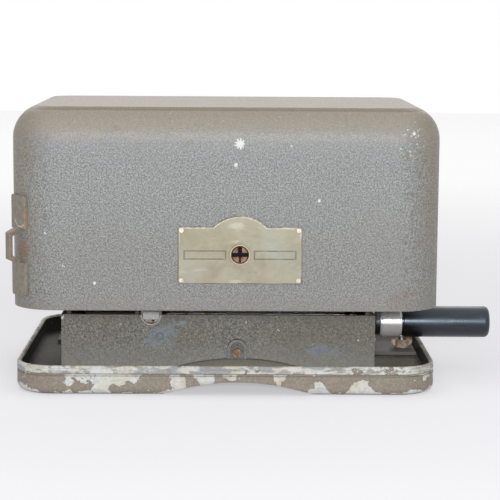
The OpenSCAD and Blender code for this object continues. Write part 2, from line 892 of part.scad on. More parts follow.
// Two slotted end discs and the feed cam of the drum
module drum_discs() {
    color("burlywood") placed()
        translate([0, crank_y, crank_z])
            difference() {
                union() {
                    for (x0 = [disc_x0, disc_x1])
                        bar_x(drum_r, x0, x0 + disc_t);
                    translate([0, 0, -cam_off])
                        bar_x(cam_r, cam_x0, cam_x0 + cam_t);
                    bar_x(drum_shaft_d / 2 + 4, disc_x1 - 6, cam_x0 + cam_t);
                    bar_x(drum_shaft_d / 2 + 4, disc_x0, disc_x0 + disc_t + 6);
                }
                hole_x(0, 0, drum_shaft_d / 2 + seat_gap, disc_x0, cam_x0 + cam_t);
                for (i = [0 : bar_n - 1])
                    rotate([i * full / bar_n, 0, 0])
                        translate([0, 0, bar_r])
                            block([disc_x0 - 1, -bar_t / 2 - seat_gap, -bar_h / 2 - seat_gap],
                                [disc_x1 + disc_t + 0.3, bar_t / 2 + seat_gap, bar_h / 2 + seat_gap]);
            }
}

// Slide bars around the drum
module slide_bars() {
    color("silver") placed()
        translate([0, crank_y, crank_z])
            for (i = [0 : bar_n - 1])
                rotate([i * full / bar_n, 0, 0])
                    translate([0, 0, bar_r])
                        block([disc_x0 - bar_over, -bar_t / 2, -bar_h / 2],
                            [disc_x1 + disc_t + bar_over, bar_t / 2, bar_h / 2]);
}

clip_w = 3.4;
clip_l = 3;
clip_up = 1.2;
clip_step = 5;
arm_off = wheel_w / 2 + pin_out + 0.9;
arm_w = 2;

// Place of a wheel along its shaft
function wheel_at(i) = wheel_x + wheel_pitch * i;

// Clips on the slide bars, two on each bar
module bar_lugs() {
    color("goldenrod") placed()
        translate([0, crank_y, crank_z])
            for (i = [0 : bar_n - 1])
                for (k = [0, 1])
                    rotate([i * full / bar_n, 0, 0])
                        translate([wheel_at((i * (2 * k + 1) + 3 * k + floor(i / 6)) % 6) + arm_off - k * clip_step, 0, bar_r])
                            difference() {
                                block([-clip_l / 2, -clip_w / 2, -bar_h / 4],
                                    [clip_l / 2, clip_w / 2, bar_h / 2 + clip_up]);
                                block([-clip_l, -bar_t / 2 - seat_gap, -bar_h],
                                    [clip_l, bar_t / 2 + seat_gap, bar_h / 2 + seat_gap]);
                            }
}

ratchet_w = 2.6;
hub_over = 0.2;
hub_half = wheel_w / 2 + ratchet_w + hub_over;
wheel_hub_r = 8.4;
shaft_x0 = gear_x + gear_w + 1.4;
pilot = 5;

// Wheel shaft with a pilot bore for the setting shaft, and its spacers
module wheel_shaft() {
    color("silver") placed()
        translate([0, wheel_y, wheel_z]) {
            difference() {
                bar_x(wheel_shaft_d / 2, shaft_x0, right_x1);
                bar_x(set_d / 2 + run_gap, shaft_x0 - 1, shaft_x0 + pilot);
            }
            for (i = [0 : 6])
                difference() {
                    bar_x(wheel_shaft_d / 2 + 2, i == 0 ? shaft_x0 : wheel_at(i - 1) + hub_half + seat_gap,
                        i == 6 ? right_x0 - seat_gap : wheel_at(i) - hub_half - seat_gap);
                    bar_x(wheel_shaft_d / 2 + seat_gap, shaft_x0 - 1, right_x1 + 1);
                }
        }
}

ratchet_r = 15.4;
tooth_h = 1.3;
tooth_w = 1.8;
pin_r = wheel_r - 2.6;
web_r = wheel_r - 5;
web_deep = wheel_w / 4;
mark_w = 0.9;
mark_h = 0.7;

// One pin wheel: rim with marks and pins, web, hub and ratchet ring
module pin_wheel(i) {
    n = wheel_n[i];
    color("slategray") placed()
        translate([wheel_at(i), wheel_y, wheel_z])
            difference() {
                union() {
                    difference() {
                        bar_x(wheel_r, -wheel_w / 2, wheel_w / 2);
                        bar_x(web_r, wheel_w / 2 - web_deep, wheel_w);
                        for (k = [0 : n - 1])
                            rotate([k * full / n, 0, 0])
                                block([-wheel_w, -mark_w / 2, wheel_r - mark_h], [0, mark_w / 2, wheel_r + 1]);
                    }
                    bar_x(wheel_hub_r, -hub_half, hub_half);
                    bar_x(ratchet_r - tooth_h, -wheel_w / 2 - ratchet_w, 0);
                    for (k = [0 : n - 1])
                        rotate([(k + 0.5) * full / n, 0, 0])
                            block([-wheel_w / 2 - ratchet_w + hub_over, -tooth_w / 2, ratchet_r - 2 * tooth_h],
                                [-wheel_w / 4, tooth_w / 2, ratchet_r]);
                    for (k = [0 : n - 1])
                        rotate([(k + 0.5) * full / n, 0, 0])
                            translate([0, 0, pin_r])
                                bar_x(pin_d / 2, 0, wheel_w / 2 + ((k * k + i) % 3 == 0 ? 0.3 : pin_out));
                }
                bar_x(wheel_shaft_d / 2 + run_gap, -wheel_pitch, wheel_pitch);
            }
}

module pin_wheel_26() { pin_wheel(0); }
module pin_wheel_25() { pin_wheel(1); }
module pin_wheel_23() { pin_wheel(2); }
module pin_wheel_21() { pin_wheel(3); }
module pin_wheel_19() { pin_wheel(4); }
module pin_wheel_17() { pin_wheel(5); }

// Rods that carry the guide arms and the feed comb
module pivot_rods() {
    color("silver") placed() {
        translate([0, guide_y, guide_z])
            bar_x(guide_d / 2, mid_x0, right_x1);
        translate([0, feed_y, feed_z])
            bar_x(feed_d / 2, mid_x0, right_x1);
    }
}

tip_r = drum_r + 4;
finger_at = [guide_y + 8, guide_z + 11];
tip_dir = [guide_y + 10 - crank_y, guide_z - 8 - crank_z];
tip_at = [crank_y, crank_z] + tip_dir * (tip_r / norm(tip_dir));
arm_bar_w = 4;
arm_hub_r = 4.4;
arm_boss_r = 3.6;
arm_hub_l = 4;

// A flat link from one point to the round end at another
module link_flat(a, b, w) {
    d = b - a;
    translate(a)
        rotate(atan2(d[1], d[0]))
            translate([0, -w / 2 * link_waist])
                square([norm(d), w * link_waist]);
    translate(b)
        circle(d = w);
}

// One guide arm between a pin wheel and the drum
module guide_arm(i) {
    color("darkgray") placed()
        translate([wheel_at(i), 0, 0])
            difference() {
                union() {
                    sheet_x(arm_off, arm_w) {
                        translate([guide_y, guide_z])
                            circle(r = arm_hub_r);
                        link_flat([guide_y, guide_z], finger_at, arm_bar_w);
                        link_flat([guide_y, guide_z], tip_at, arm_bar_w);
                    }
                    translate([0, guide_y, guide_z])
                        bar_x(arm_boss_r, arm_off + arm_w / 2, arm_off + arm_hub_l);
                }
                hole_x(guide_y, guide_z, guide_d / 2 + run_gap, arm_off, arm_off + arm_hub_l);
            }
}

module guide_arm_1() { guide_arm(0); }
module guide_arm_2() { guide_arm(1); }
module guide_arm_3() { guide_arm(2); }
module guide_arm_4() { guide_arm(3); }
module guide_arm_5() { guide_arm(4); }
module guide_arm_6() { guide_arm(5); }

pawl_w = 3;
pawl_t = 1.8;
wf = [feed_y - wheel_y, feed_z - wheel_z];
pawl_at = [wheel_y, wheel_z] + wf * ((ratchet_r + 0.8 + pawl_w / 2) / norm(wf));
df = [feed_y - crank_y, feed_z - crank_z];
follow_at = [crank_y, crank_z] + df * ((cam_r + cam_off + 1.4 + pawl_w) / norm(df));
comb_x0 = wheel_at(0) - wheel_w / 2 - ratchet_w - 1;
comb_x1 = cam_x0 + cam_t + 0.4;
comb_wall = 2;

// Comb of six feed pawls, rocked by the cam on the drum
module feed_comb() {
    color("darkkhaki") placed()
        difference() {
            union() {
                translate([0, feed_y, feed_z])
                    bar_x(feed_d / 2 + comb_wall, comb_x0, comb_x1);
                for (i = [0 : 5])
                    sheet_x(wheel_at(i) - wheel_w / 2 - pawl_t - pass_gap, pawl_t)
                        link_flat([feed_y, feed_z], pawl_at, pawl_w);
                sheet_x(cam_x0, cam_t)
                    link_flat([feed_y, feed_z], follow_at, 2 * pawl_w);
            }
            hole_x(feed_y, feed_z, feed_d / 2 + run_gap, comb_x0, comb_x1);
        }
}

knob_x1 = left_x0 - 0.8;
knob_h = 13;

// Setting shaft from the knob to the pilot bore of the wheel shaft
module setting_shaft() {
    color("silver") placed()
        translate([0, wheel_y, wheel_z])
            bar_x(set_d / 2, knob_x1 - knob_h + 2, shaft_x0 + pilot - 0.6);
}

letters = 26;
disc_x = left_x1 + 2;
disc_w = 2.4;

// Indicator disc with a notch for each letter, left bare
module indicator_disc() {
    color("gainsboro") placed()
        translate([0, wheel_y, wheel_z])
            difference() {
                union() {
                    bar_x(disc_r, disc_x, disc_x + disc_w);
                    bar_x(set_d, disc_x, disc_x + 3 * disc_w);
                }
                bar_x(set_d / 2 + seat_gap, disc_x - 1, disc_x + 4 * disc_w);
                for (k = [0 : letters - 1])
                    rotate([k * full / letters, 0, 0])
                        block([disc_x - 1, -mark_w / 2, disc_r - 2], [disc_x + disc_w + 1, mark_w / 2, disc_r + 1]);
            }
}

type_w = 9;
face_w = 2.6;
face_up = 1.2;

// Type wheel with bare type faces around its rim
module type_wheel() {
    color("dimgray") placed()
        translate([tape_x, wheel_y, wheel_z])
            difference() {
                union() {
                    bar_x(type_r - face_up, -type_w / 2, type_w / 2);
                    bar_x(set_d, -type_w / 2, type_w);
                    for (k = [0 : letters - 1])
                        rotate([k * full / letters, 0, 0])
                            block([-type_w / 3, -face_w / 2, type_r / 2], [type_w / 3, face_w / 2, type_r - 0.1]);
                }
                bar_x(set_d / 2 + seat_gap, -type_w, 2 * type_w);
            }
}

// Outline of a gear with straight-sided teeth and free play in the mesh
module gear_outline(phase) {
    root = gear_r - 1.15 * gear_m;
    tip = gear_r + 0.75 * gear_m;
    half_root = 0.24 * full / gear_n;
    half_tip = 0.10 * full / gear_n;
    polygon([for (k = [0 : gear_n - 1])
        for (c = [[root, -half_root], [tip, -half_tip], [tip, half_tip], [root, half_root]])
            c[0] * [cos(phase + k * full / gear_n + c[1]), sin(phase + k * full / gear_n + c[1])]]);
}

// Setting gear, a tooth turned to the idler
module setting_gear() {
    color("goldenrod") placed()
        translate([0, wheel_y, wheel_z])
            difference() {
                sheet_x(gear_x, gear_w)
                    gear_outline(idler_a);
                hole_x(0, 0, set_d / 2 + seat_gap, gear_x, gear_x + gear_w);
            }
}

stud_r = 2.5;
stud_head = 1.2;

// Idler gear, a gap turned to the setting gear
module idler_gear() {
    color("goldenrod") placed()
        translate([0, idler_y, idler_z])
            difference() {
                sheet_x(gear_x, gear_w)
                    gear_outline(idler_a + full / 2 + full / gear_n / 2);
                hole_x(0, 0, stud_r + run_gap, gear_x, gear_x + gear_w);
            }
}

flutes = 18;
flute_r = 2;

// Fluted setting knob outside the left plate
module setting_knob() {
    color("black") placed()
        translate([0, wheel_y, wheel_z])
            difference() {
                union() {
                    bar_x(knob_d / 2, knob_x1 - knob_h + 1, knob_x1 - 2);
                    bar_x(knob_d / 2 - 1, knob_x1 - knob_h, knob_x1 - knob_h + 1 + eps);
                    bar_x(knob_d / 4, knob_x1 - 2 - eps, knob_x1);
                }
                bar_x(set_d / 2 + seat_gap, knob_x1 - knob_h + 2 - seat_gap, knob_x1 + 1);
                for (k = [0 : flutes - 1])
                    rotate([k * full / flutes, 0, 0])
                        translate([0, 0, knob_d / 2 + flute_r / 2])
                            bar_x(flute_r, knob_x1 - knob_h - 1, knob_x1 - 1);
            }
}

// Fixed posts: roll pin, ink rod, counter rod, tape bar, hammer rod and idler stud
module print_posts() {
    color("silver") placed() {
        translate([0, roll_y, roll_z]) {
            bar_x(roll_pin_d / 2, left_x0, tape_x + tape_w / 2 + 2.4);
            bar_x(roll_pin_d / 2 + 1.6, tape_x + tape_w / 2 + 0.8, tape_x + tape_w / 2 + 2.4);
            bar_x(roll_pin_d / 2 + 3, left_x1 + seat_gap, tape_x - tape_w / 2 - 0.8);
        }
        translate([0, ink_y, ink_z]) {
            bar_x(ink_d / 2, left_x0, tape_x + tape_w / 2 + 2);
            bar_x(ink_d / 2 + 1, tape_x + tape_w / 2 + 0.8, tape_x + tape_w / 2 + 2);
            bar_x(ink_d / 2 + 1, left_x1 + seat_gap + disc_w * 2 + 2, tape_x - tape_w / 2 - 0.8);
        }
        translate([0, count_y, count_z]) {
            bar_x(count_d / 2, left_x0, mid_x1);
            bar_x(count_d / 2 + 1.4, left_x1 + seat_gap, count_x - 2 * count_pitch - count_w / 2 - 0.6);
        }
        translate([0, tape_bend_y, guide_pin_z])
            bar_x(guide_pin_d / 2, left_x0, mid_x1);
        translate([0, hammer_y, hammer_z])
            bar_x(hammer_d / 2, left_x0, mid_x1);
        translate([0, idler_y, idler_z]) {
            bar_x(stud_r, mid_x0, gear_x + gear_w + 0.4 + stud_head);
            bar_x(stud_r + 1.6, gear_x + gear_w + 0.4, gear_x + gear_w + 0.4 + stud_head);
        }
    }
}

digits = 10;

// One wheel of the letter counter
module count_wheel(k) {
    color("white") placed()
        translate([count_x - k * count_pitch, count_y, count_z])
            difference() {
                bar_x(count_r, -count_w / 2, count_w / 2);
                bar_x(count_d / 2 + run_gap, -count_w, count_w);
                for (j = [0 : digits - 1])
                    rotate([j * full / digits, 0, 0])
                        block([count_w / 4, -mark_w, count_r - mark_h], [count_w, mark_w, count_r + 1]);
            }
}

module counter_units() { count_wheel(0); }
module counter_tens() { count_wheel(1); }
module counter_hundreds() { count_wheel(2); }

core_r = 7;

// Roll of paper tape on its core
module paper_roll() {
    color("ivory") placed()
        translate([tape_x, roll_y, roll_z])
            difference() {
                bar_x(roll_r, -tape_w / 2, tape_w / 2);
                bar_x(roll_pin_d / 2 + run_gap, -tape_w, tape_w);
                bar_x(core_r, tape_w / 2 - 0.6, tape_w);
            }
}

// The tape runs straight between the tangent points of the roll, the guide pin and the roller
wrap_r = roll_r + tape_t / 2 + 0.12;
pin_wrap = guide_pin_d / 2 + seat_gap + tape_t / 2;
lead = [tape_bend_y - roll_y, guide_pin_z - roll_z];
leave_a = atan2(lead[1], lead[0]) - acos((wrap_r - pin_wrap) / norm(lead));
roller_wrap = roller_r + seat_gap + tape_t / 2;
tape_fall = 10;
tape_out = 10;
bend_y = tape_bend_y + pin_wrap * tan((quarter - leave_a) / 2);
front_y = roller_y - roller_wrap * tan(tape_fall / 2);
tape_pts = [[roll_y + wrap_r * cos(leave_a), roll_z + wrap_r * sin(leave_a)],
    [bend_y, tape_z], [front_y, tape_z],
    [front_y - tape_out * cos(tape_fall), tape_z - tape_out * sin(tape_fall)]];

// Paper tape from the roll over the type wheel to the front
module paper_tape() {
    color("ivory") placed()
        for (k = [0 : 2])
            link_x(tape_pts[k], tape_pts[k + 1], tape_t, tape_x - tape_w / 2, tape_w);
}

// Tape feed roller on its spindle
module feed_roller() {
    color("dimgray") placed()
        translate([0, roller_y, roller_z]) {
            bar_x(roller_r, tape_x - tape_w, tape_x + tape_w);
            bar_x(roller_d / 2, left_x0, mid_x1);
        }
}

// Ink roller behind the type wheel
module ink_roller() {
    color("black") placed()
        translate([tape_x, ink_y, ink_z])
            difference() {
                bar_x(ink_r, -tape_w / 2, tape_w / 2);
                bar_x(ink_d / 2 + run_gap, -tape_w, tape_w);
            }
}

hammer_up = 2.2;
hammer_w = 6;
hammer_t = 4;
hammer_wall = 2.4;
hammer_boss = 1;
hammer_rise = 1.6;

// Hammer that presses the tape on the type wheel
module print_hammer() {
    color("darkgray") placed()
        translate([tape_x, 0, 0])
            difference() {
                union() {
                    translate([0, hammer_y, hammer_z])
                        bar_x(hammer_d / 2 + hammer_wall, -hammer_w / 2 - hammer_boss, hammer_w / 2 + hammer_boss);
                    link_x([hammer_y, hammer_z], [wheel_y, hammer_z + hammer_rise], hammer_t, -hammer_w / 2, hammer_w);
                    block([-hammer_w / 2, wheel_y - hammer_w / 2, tape_z + tape_t / 2 + hammer_up],
                        [hammer_w / 2, wheel_y + hammer_w / 2, hammer_z + hammer_rise]);
                }
                hole_x(hammer_y, hammer_z, hammer_d / 2 + run_gap, -hammer_w, hammer_w);
            }
}

mode_knob_d = 18;
mode_knob_h = 9;
mode_gap = 1;
mode_t = 3;
mode_bar_h = 4;
mode_bar_w = 4;

// Knob that sets enciphering or deciphering
module mode_knob() {
    color("black") placed()
        translate([0, mode_y, mode_z]) {
            bar_x(mode_knob_d / 2, knob_x1 - mode_knob_h, knob_x1);
            bar_x(mode_d / 2, knob_x1 - eps, left_x1 + mode_gap + mode_t + 2);
            bar_x(mode_d, left_x1 + mode_gap, left_x1 + mode_gap + mode_t);
            block([left_x1 + mode_gap, 0, -mode_d / 2], [left_x1 + mode_gap + mode_t, 2 * mode_d, mode_d / 2]);
            block([knob_x1 - mode_knob_h - mode_bar_h, -mode_bar_w / 2, -mode_knob_d / 2 + mode_gap],
                [knob_x1 - mode_knob_h + eps, mode_bar_w / 2, mode_knob_d / 2 - mode_gap]);
        }
}

// Upright corner of the hood, closed by a round upper edge
module hood_corner(r, e, z0, z1) {
    translate([0, 0, z0])
        rotate_extrude()
            intersection() {
                union() {
                    square([r, z1 - z0 - e + hood_break]);
                    square([r - e, z1 - z0]);
                    translate([r - e, z1 - z0 - e + hood_break])
                        circle(r = e);
                }
                square([r + 1, z1 - z0]);
            }
}

// Flat outline with two round upper corners, which meet the top in a soft crease
module loaf(w, e, z0, z1) {
    intersection() {
        union() {
            translate([-w / 2, z0])
                square([w, z1 - z0 - e + hood_break]);
            translate([-w / 2 + e, z0])
                square([w - 2 * e, z1 - z0]);
            for (s = [-1, 1])
                translate([s * (w / 2 - e), z1 - e + hood_break])
                    circle(r = e);
        }
        translate([-w, z0])
            square([2 * w, z1 - z0]);
    }
}

// Solid block with round upright corners and round upper edges
module rounded_block(w, d, r, e, z0, z1) {
    for (sx = [-1, 1])
        for (sy = [-1, 1])
            translate([sx * (w / 2 - r), sy * (d / 2 - r), 0])
                hood_corner(r, e, z0, z1);
    sheet_x(-w / 2 + r, w - 2 * r)
        loaf(d, e, z0, z1);
    sheet_y(-d / 2 + r, d - 2 * r)
        loaf(w, e, z0, z1);
}

// Hood: drawn sheet shell with a cut-out for the crank in its right side
module hood_shell() {
    color("gray") placed()
        difference() {
            translate([0, hood_yc, 0])
                difference() {
                    rounded_block(hood_w, hood_d, hood_r, hood_edge_r, hood_z0, hood_z1);
                    rounded_block(hood_w - 2 * hood_t, hood_d - 2 * hood_t, hood_r - hood_t,
                        hood_edge_r - hood_t, hood_z0 - 1, hood_in);
                }
            translate([lock_x, 0, lock_z])
                bar_y(lock_d / 2 + run_gap, hood_y0 - 1, hood_y0 + hood_t + 1);
            translate([0, crank_y, crank_z])
                bar_x(sweep_r, hood_w / 2 - 3 * hood_t, hood_w / 2 + 1);
            block([hood_w / 2 - 3 * hood_t, crank_y - sweep_r, hood_z0 - 1],
                [hood_w / 2 + 1, crank_y + sweep_r, crank_z]);
        }
}

// How far the inner face of the hood has turned in at a place along X
hood_in_r = hood_r - hood_t;
function turned_in(x) = let (past = max(0, abs(x) - hood_w / 2 + hood_r))
    hood_in_r - sqrt(max(0, hood_in_r * hood_in_r - past * past));

// Angle brackets inside the hood that rest on the arms of the frame plates
module hood_ledges() {
    color("gray") placed()
        for (x = [(left_x0 + left_x1) / 2, (right_x0 + right_x1) / 2]) {
            back_off = hood_t + seat_gap + turned_in(abs(x) + ledge_w / 2);
            translate([x, hood_y0 + back_off, rest_z + seat_gap]) {
                block([-ledge_w / 2, 0, 0], [ledge_w / 2, ledge_deep, ledge_t]);
                block([-ledge_w / 2, 0, 0], [ledge_w / 2, ledge_t, ledge_h]);
            }
            translate([x, hood_y1 - back_off, rest_z + seat_gap]) {
                block([-ledge_w / 2, -ledge_deep, 0], [ledge_w / 2, 0, ledge_t]);
                block([-ledge_w / 2, -ledge_t, 0], [ledge_w / 2, 0, ledge_h]);
            }
        }
}

loop_r0 = hood_r + seat_gap;
loop_r1 = hood_r + loop_out;
loop_z0 = hood_z0 + loop_up;
loop_pad = loop_len / 3;
loop_rise = 3;
loop_bite = 0.2;
loop_pad_a = asin(loop_w / 2 / loop_r0) + 1;
loop_bridge_a = asin(loop_bridge_w / 2 / loop_r1);

// Pads and bridge of a strap loop, seen from the side
module loop_pads() {
    for (z = [loop_z0 - loop_rise, loop_z0 + loop_len - loop_pad])
        translate([loop_r0, z])
            square([loop_t, loop_pad + loop_rise]);
}

module loop_bridge() {
    za = loop_z0 + loop_pad;
    zb = loop_z0 + loop_len - loop_pad;
    seat_r = loop_r0 + loop_bite;
    seat_t = loop_t - 2 * loop_bite;
    polygon([[seat_r, za - loop_rise], [seat_r + seat_t, za - loop_rise],
        [seat_r + seat_t, za - loop_t / 2], [loop_r1 + loop_t, za + loop_rise - loop_t / 2],
        [loop_r1 + loop_t, zb - loop_rise + loop_t / 2], [seat_r + seat_t, zb + loop_t / 2],
        [seat_r + seat_t, zb + loop_rise], [seat_r, zb + loop_rise], [seat_r, zb - loop_t / 2],
        [loop_r1, zb - loop_rise - loop_t / 2], [loop_r1, za + loop_rise + loop_t / 2],
        [seat_r, za + loop_t / 2]]);
}

// Outline of a strap loop with its round corners, seen from outside
module loop_outline() {
    translate([-loop_w / 2 + loop_corner, loop_z0])
        square([loop_w - 2 * loop_corner, loop_len]);
    translate([-loop_w / 2, loop_z0 + loop_corner])
        square([loop_w, loop_len - 2 * loop_corner]);
    for (side = [-1, 1])
        for (z = [loop_z0 + loop_corner, loop_z0 + loop_len - loop_corner])
            translate([side * (loop_w / 2 - loop_corner), z])
                circle(r = loop_corner);
}

// One bent strap loop on the axis of a hood corner, facing along X
module strap_loop() {
    intersection() {
        union() {
            rotate([0, 0, -loop_pad_a])
                rotate_extrude(angle = 2 * loop_pad_a)
                    loop_pads();
            rotate([0, 0, -loop_bridge_a])
                rotate_extrude(angle = 2 * loop_bridge_a)
                    loop_bridge();
        }
        sheet_x(0, 2 * hood_r)
            loop_outline();
    }
}

// Strap loops on the two left corners of the hood
module strap_loops() {
    color("gray") placed() {
        translate([-hood_w / 2 + hood_r, hood_y0 + hood_r, 0])
            rotate([0, 0, 2 * quarter + loop_a])
                strap_loop();
        translate([-hood_w / 2 + hood_r, hood_y1 - hood_r, 0])
            rotate([0, 0, 2 * quarter - loop_a])
                strap_loop();
    }
}

plate_rivet_in = 2;
plate_rivets_at = [for (sx = [-1, 1]) for (sz = [-1, 1])
    [lock_x + sx * (plate_w / 2 - plate_rivet_in), lock_z - 0.6 + sz * (plate_h / 2 - plate_rivet_in)]];
plate_y0 = hood_y0 - seat_gap - plate_t;
line_w = 0.5;
line_deep = 0.25;
box_w = 23.5;
box_h = 5;
box_in = 3.2;

// Bare plate with an arch over the lock and two empty engraved boxes
module name_plate() {
    color("darkkhaki") placed()
        difference() {
            sheet_y(plate_y0, plate_t)
                union() {
                    translate([lock_x - plate_w / 2, lock_z - 0.6 - plate_h / 2])
                        square([plate_w, plate_h]);
                    intersection() {
                        translate([lock_x, lock_z])
                            circle(r = plate_arch_r);
                        translate([lock_x - plate_w / 2, lock_z])
                            square([plate_w, plate_w]);
                    }
                }
            translate([lock_x, 0, lock_z])
                bar_y(lock_d / 2 + run_gap, plate_y0 - 1, hood_y0 + 1);
            for (p = plate_rivets_at)
                translate([p[0], 0, p[1]])
                    bar_y(plate_rivet_d / 4 + seat_gap, plate_y0 - 1, hood_y0 + 1);
            for (s = [-1, 1])
                translate([lock_x + s * (plate_w / 2 - box_in - box_w / 2), plate_y0, lock_z - 0.4])
                    difference() {
                        block([-box_w / 2, -1, -box_h / 2], [box_w / 2, line_deep, box_h / 2]);
                        block([-box_w / 2 + line_w, -2, -box_h / 2 + line_w],
                            [box_w / 2 - line_w, 1, box_h / 2 - line_w]);
                    }
        }
}

// Rivets of the bare plate
module plate_rivets() {
    color("silver") placed()
        for (p = plate_rivets_at)
            translate([p[0], 0, p[1]]) {
                bar_y(plate_rivet_d / 2, plate_y0 - 0.8, plate_y0 - seat_gap);
                bar_y(plate_rivet_d / 4, plate_y0 - 0.4, hood_y0 - seat_gap);
            }
}

barrel_y0 = plate_y0 - 1.5;
cam_y0 = hood_y0 + hood_t + 4.5;
lock_cam_t = 2.4;
key_w = 2.2;
key_deep = 1.1;

// Lock barrel with a cross-shaped key slot
module lock_barrel() {
    color("silver") placed()
        translate([lock_x, 0, lock_z])
            difference() {
                union() {
                    bar_y(lock_d / 2 + 0.6, barrel_y0, plate_y0 - seat_gap);
                    bar_y(lock_d / 2, barrel_y0 + eps, cam_y0 + lock_cam_t);
                }
                block([-lock_d / 2 + 1, barrel_y0 - 1, -key_w / 2], [lock_d / 2 - 1, barrel_y0 + key_deep, key_w / 2]);
                block([-key_w / 5, barrel_y0 - 1, -lock_d / 2 + 0.8], [key_w / 5, barrel_y0 + key_deep, lock_d / 2 - 0.8]);
            }
}

cam_len = 15;
cam_w = 7;

// Cam on the lock barrel, hanging down while the lock is open
module lock_cam() {
    color("silver") placed()
        translate([lock_x, 0, lock_z])
            difference() {
                union() {
                    bar_y(lock_d / 2 + 2, cam_y0, cam_y0 + lock_cam_t);
                    block([-cam_w / 2, cam_y0, -cam_len], [cam_w / 2, cam_y0 + lock_cam_t, 0]);
                }
                bar_y(lock_d / 2 + seat_gap, cam_y0 - 1, cam_y0 + lock_cam_t + 1);
            }
}

keep_gap = 4;
keep_w = 7;
keep_run = 9;
keep_lip = 1;
keep_wall = 2;
keep_x0 = lock_x + lock_d / 2 + keep_gap;
keep_x1 = keep_x0 + keep_w;
keep_z0 = lock_z + cam_w / 2 + pass_gap;
keep_t = 2.4;
keep_low = ties[0][1] - tie_d / 2 - keep_wall;
keep_y1 = cam_y0 + lock_cam_t + keep_run;

// Keeper on the front tie rod, over the closed cam
module lock_keeper() {
    color("silver") placed()
        difference() {
            union() {
                block([keep_x0, cam_y0 - keep_lip, keep_z0], [keep_x1, keep_y1, keep_z0 + keep_t]);
                block([keep_x0, keep_y1 - keep_t, keep_low], [keep_x1, keep_y1, keep_z0 + keep_t]);
                block([keep_x0, keep_y1 - keep_t, keep_low],
                    [keep_x1, ties[0][0] + tie_d / 2 + keep_wall, ties[0][1] + tie_d / 2 + keep_wall]);
            }
            hole_x(ties[0][0], ties[0][1], tie_d / 2 + seat_gap, keep_x0, keep_x1);
        }
}

tray();
lower_housing();
spacer_block();
block_screw();
front_rivet();
clamp_lug();
clamp_screw();
clamp_studs();
wing_nuts();
frame_screws();
left_plate();
middle_plate();
right_plate();
tie_rods();
crank_arm();
crank_ferrule();
crank_grip();
drum_shaft();
drum_discs();
slide_bars();
bar_lugs();
wheel_shaft();
pin_wheel_26();
pin_wheel_25();
pin_wheel_23();
pin_wheel_21();
pin_wheel_19();
pin_wheel_17();
pivot_rods();
guide_arm_1();
guide_arm_2();
guide_arm_3();
guide_arm_4();
guide_arm_5();
guide_arm_6();
feed_comb();
setting_shaft();
indicator_disc();
type_wheel();
setting_gear();
setting_knob();
idler_gear();
print_posts();
counter_units();
counter_tens();
counter_hundreds();
paper_roll();
paper_tape();
feed_roller();
ink_roller();
print_hammer();
mode_knob();
hood_shell();
hood_ledges();
strap_loops();
name_plate();
plate_rivets();
lock_barrel();
lock_cam();
lock_keeper();
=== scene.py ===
import json
import math

import bpy
from mathutils import Matrix, Vector


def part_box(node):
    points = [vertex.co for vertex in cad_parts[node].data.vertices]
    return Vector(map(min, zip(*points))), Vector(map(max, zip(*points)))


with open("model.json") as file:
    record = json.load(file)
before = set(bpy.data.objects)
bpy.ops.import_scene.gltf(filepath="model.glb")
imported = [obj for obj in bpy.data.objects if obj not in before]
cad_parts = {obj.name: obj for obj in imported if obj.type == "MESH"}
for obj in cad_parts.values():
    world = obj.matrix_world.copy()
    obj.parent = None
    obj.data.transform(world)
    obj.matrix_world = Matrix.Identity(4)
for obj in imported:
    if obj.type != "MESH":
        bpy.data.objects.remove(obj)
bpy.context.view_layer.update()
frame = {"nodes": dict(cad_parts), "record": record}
nodes = frame["nodes"]

# Middle plane of the hood: places given in millimetres count x from there.
hood_lo, hood_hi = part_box("hood_shell")
mid_x = (hood_lo.x + hood_hi.x) / 2

# Places that several spots or finishes share, in millimetres.
HOOD_FRONT = -78.4
HOUSING_FRONT = -51.7
HOUSING_MIDDLE = -4.3
LOCK_X, LOCK_Z = 7.75, 78.4

# Sockets of a colour Mix node, whose names stand for its number sockets too.
MIX_FACTOR, MIX_A, MIX_B, MIX_RESULT = 0, 6, 7, 2
# Rays that show a background itself, straight or in metal and glass.
SHOWN_RAYS = ("Is Camera Ray", "Is Glossy Ray", "Is Transmission Ray")
BEVEL_SAMPLES = 4


def x_at(x):
    """An x in millimetres from the hood's middle plane, in metres of the frame."""
    return mid_x + x / 1000


def at(x, y, z):
    """A point in millimetres, its x from the hood's middle plane, in metres of the frame."""
    return (x_at(x), y / 1000, z / 1000)


def on_plane(y, *rows):
    """Spots on one upright plane, each row (x, z, radius) in millimetres."""
    return [(x, y, z, radius) for x, z, radius in rows]


def rgb(r, g, b):
    """A colour of the 0 to 255 scale, as linear RGBA."""
    def lin(c):
        c = c / 255
        return c / 12.92 if c <= 0.04045 else ((c + 0.055) / 1.055) ** 2.4
    return (lin(r), lin(g), lin(b), 1.0)


def scaled(colour, by):
    """A colour made darker or lighter."""
    return tuple(min(1.0, by * c) for c in colour[:3]) + (1.0,)


# Camera: its angles in radians

pitch, yaw, roll = 0.138, 0.012, 0.0066
camera_place = at(2.024, -1015.778, 211.061)
right = Vector((math.cos(yaw), -math.sin(yaw), 0))
up = Vector((math.sin(pitch) * math.sin(yaw), math.sin(pitch) * math.cos(yaw), math.cos(pitch)))
ahead = Vector((math.cos(pitch) * math.sin(yaw), math.cos(pitch) * math.cos(yaw), -math.sin(pitch)))
camera_right = math.cos(roll) * right + math.sin(roll) * up
camera_up = -math.sin(roll) * right + math.cos(roll) * up
camera_data = bpy.data.cameras.new("camera")
camera_data.sensor_width = 36
camera_data.lens = 123.05
camera_data.clip_end = 50
camera = bpy.data.objects.new("camera", camera_data)
turn = Matrix((camera_right, camera_up, -ahead)).transposed().to_4x4()
camera.matrix_world = Matrix.Translation(camera_place) @ turn
bpy.context.scene.collection.objects.link(camera)
bpy.context.scene.camera = camera


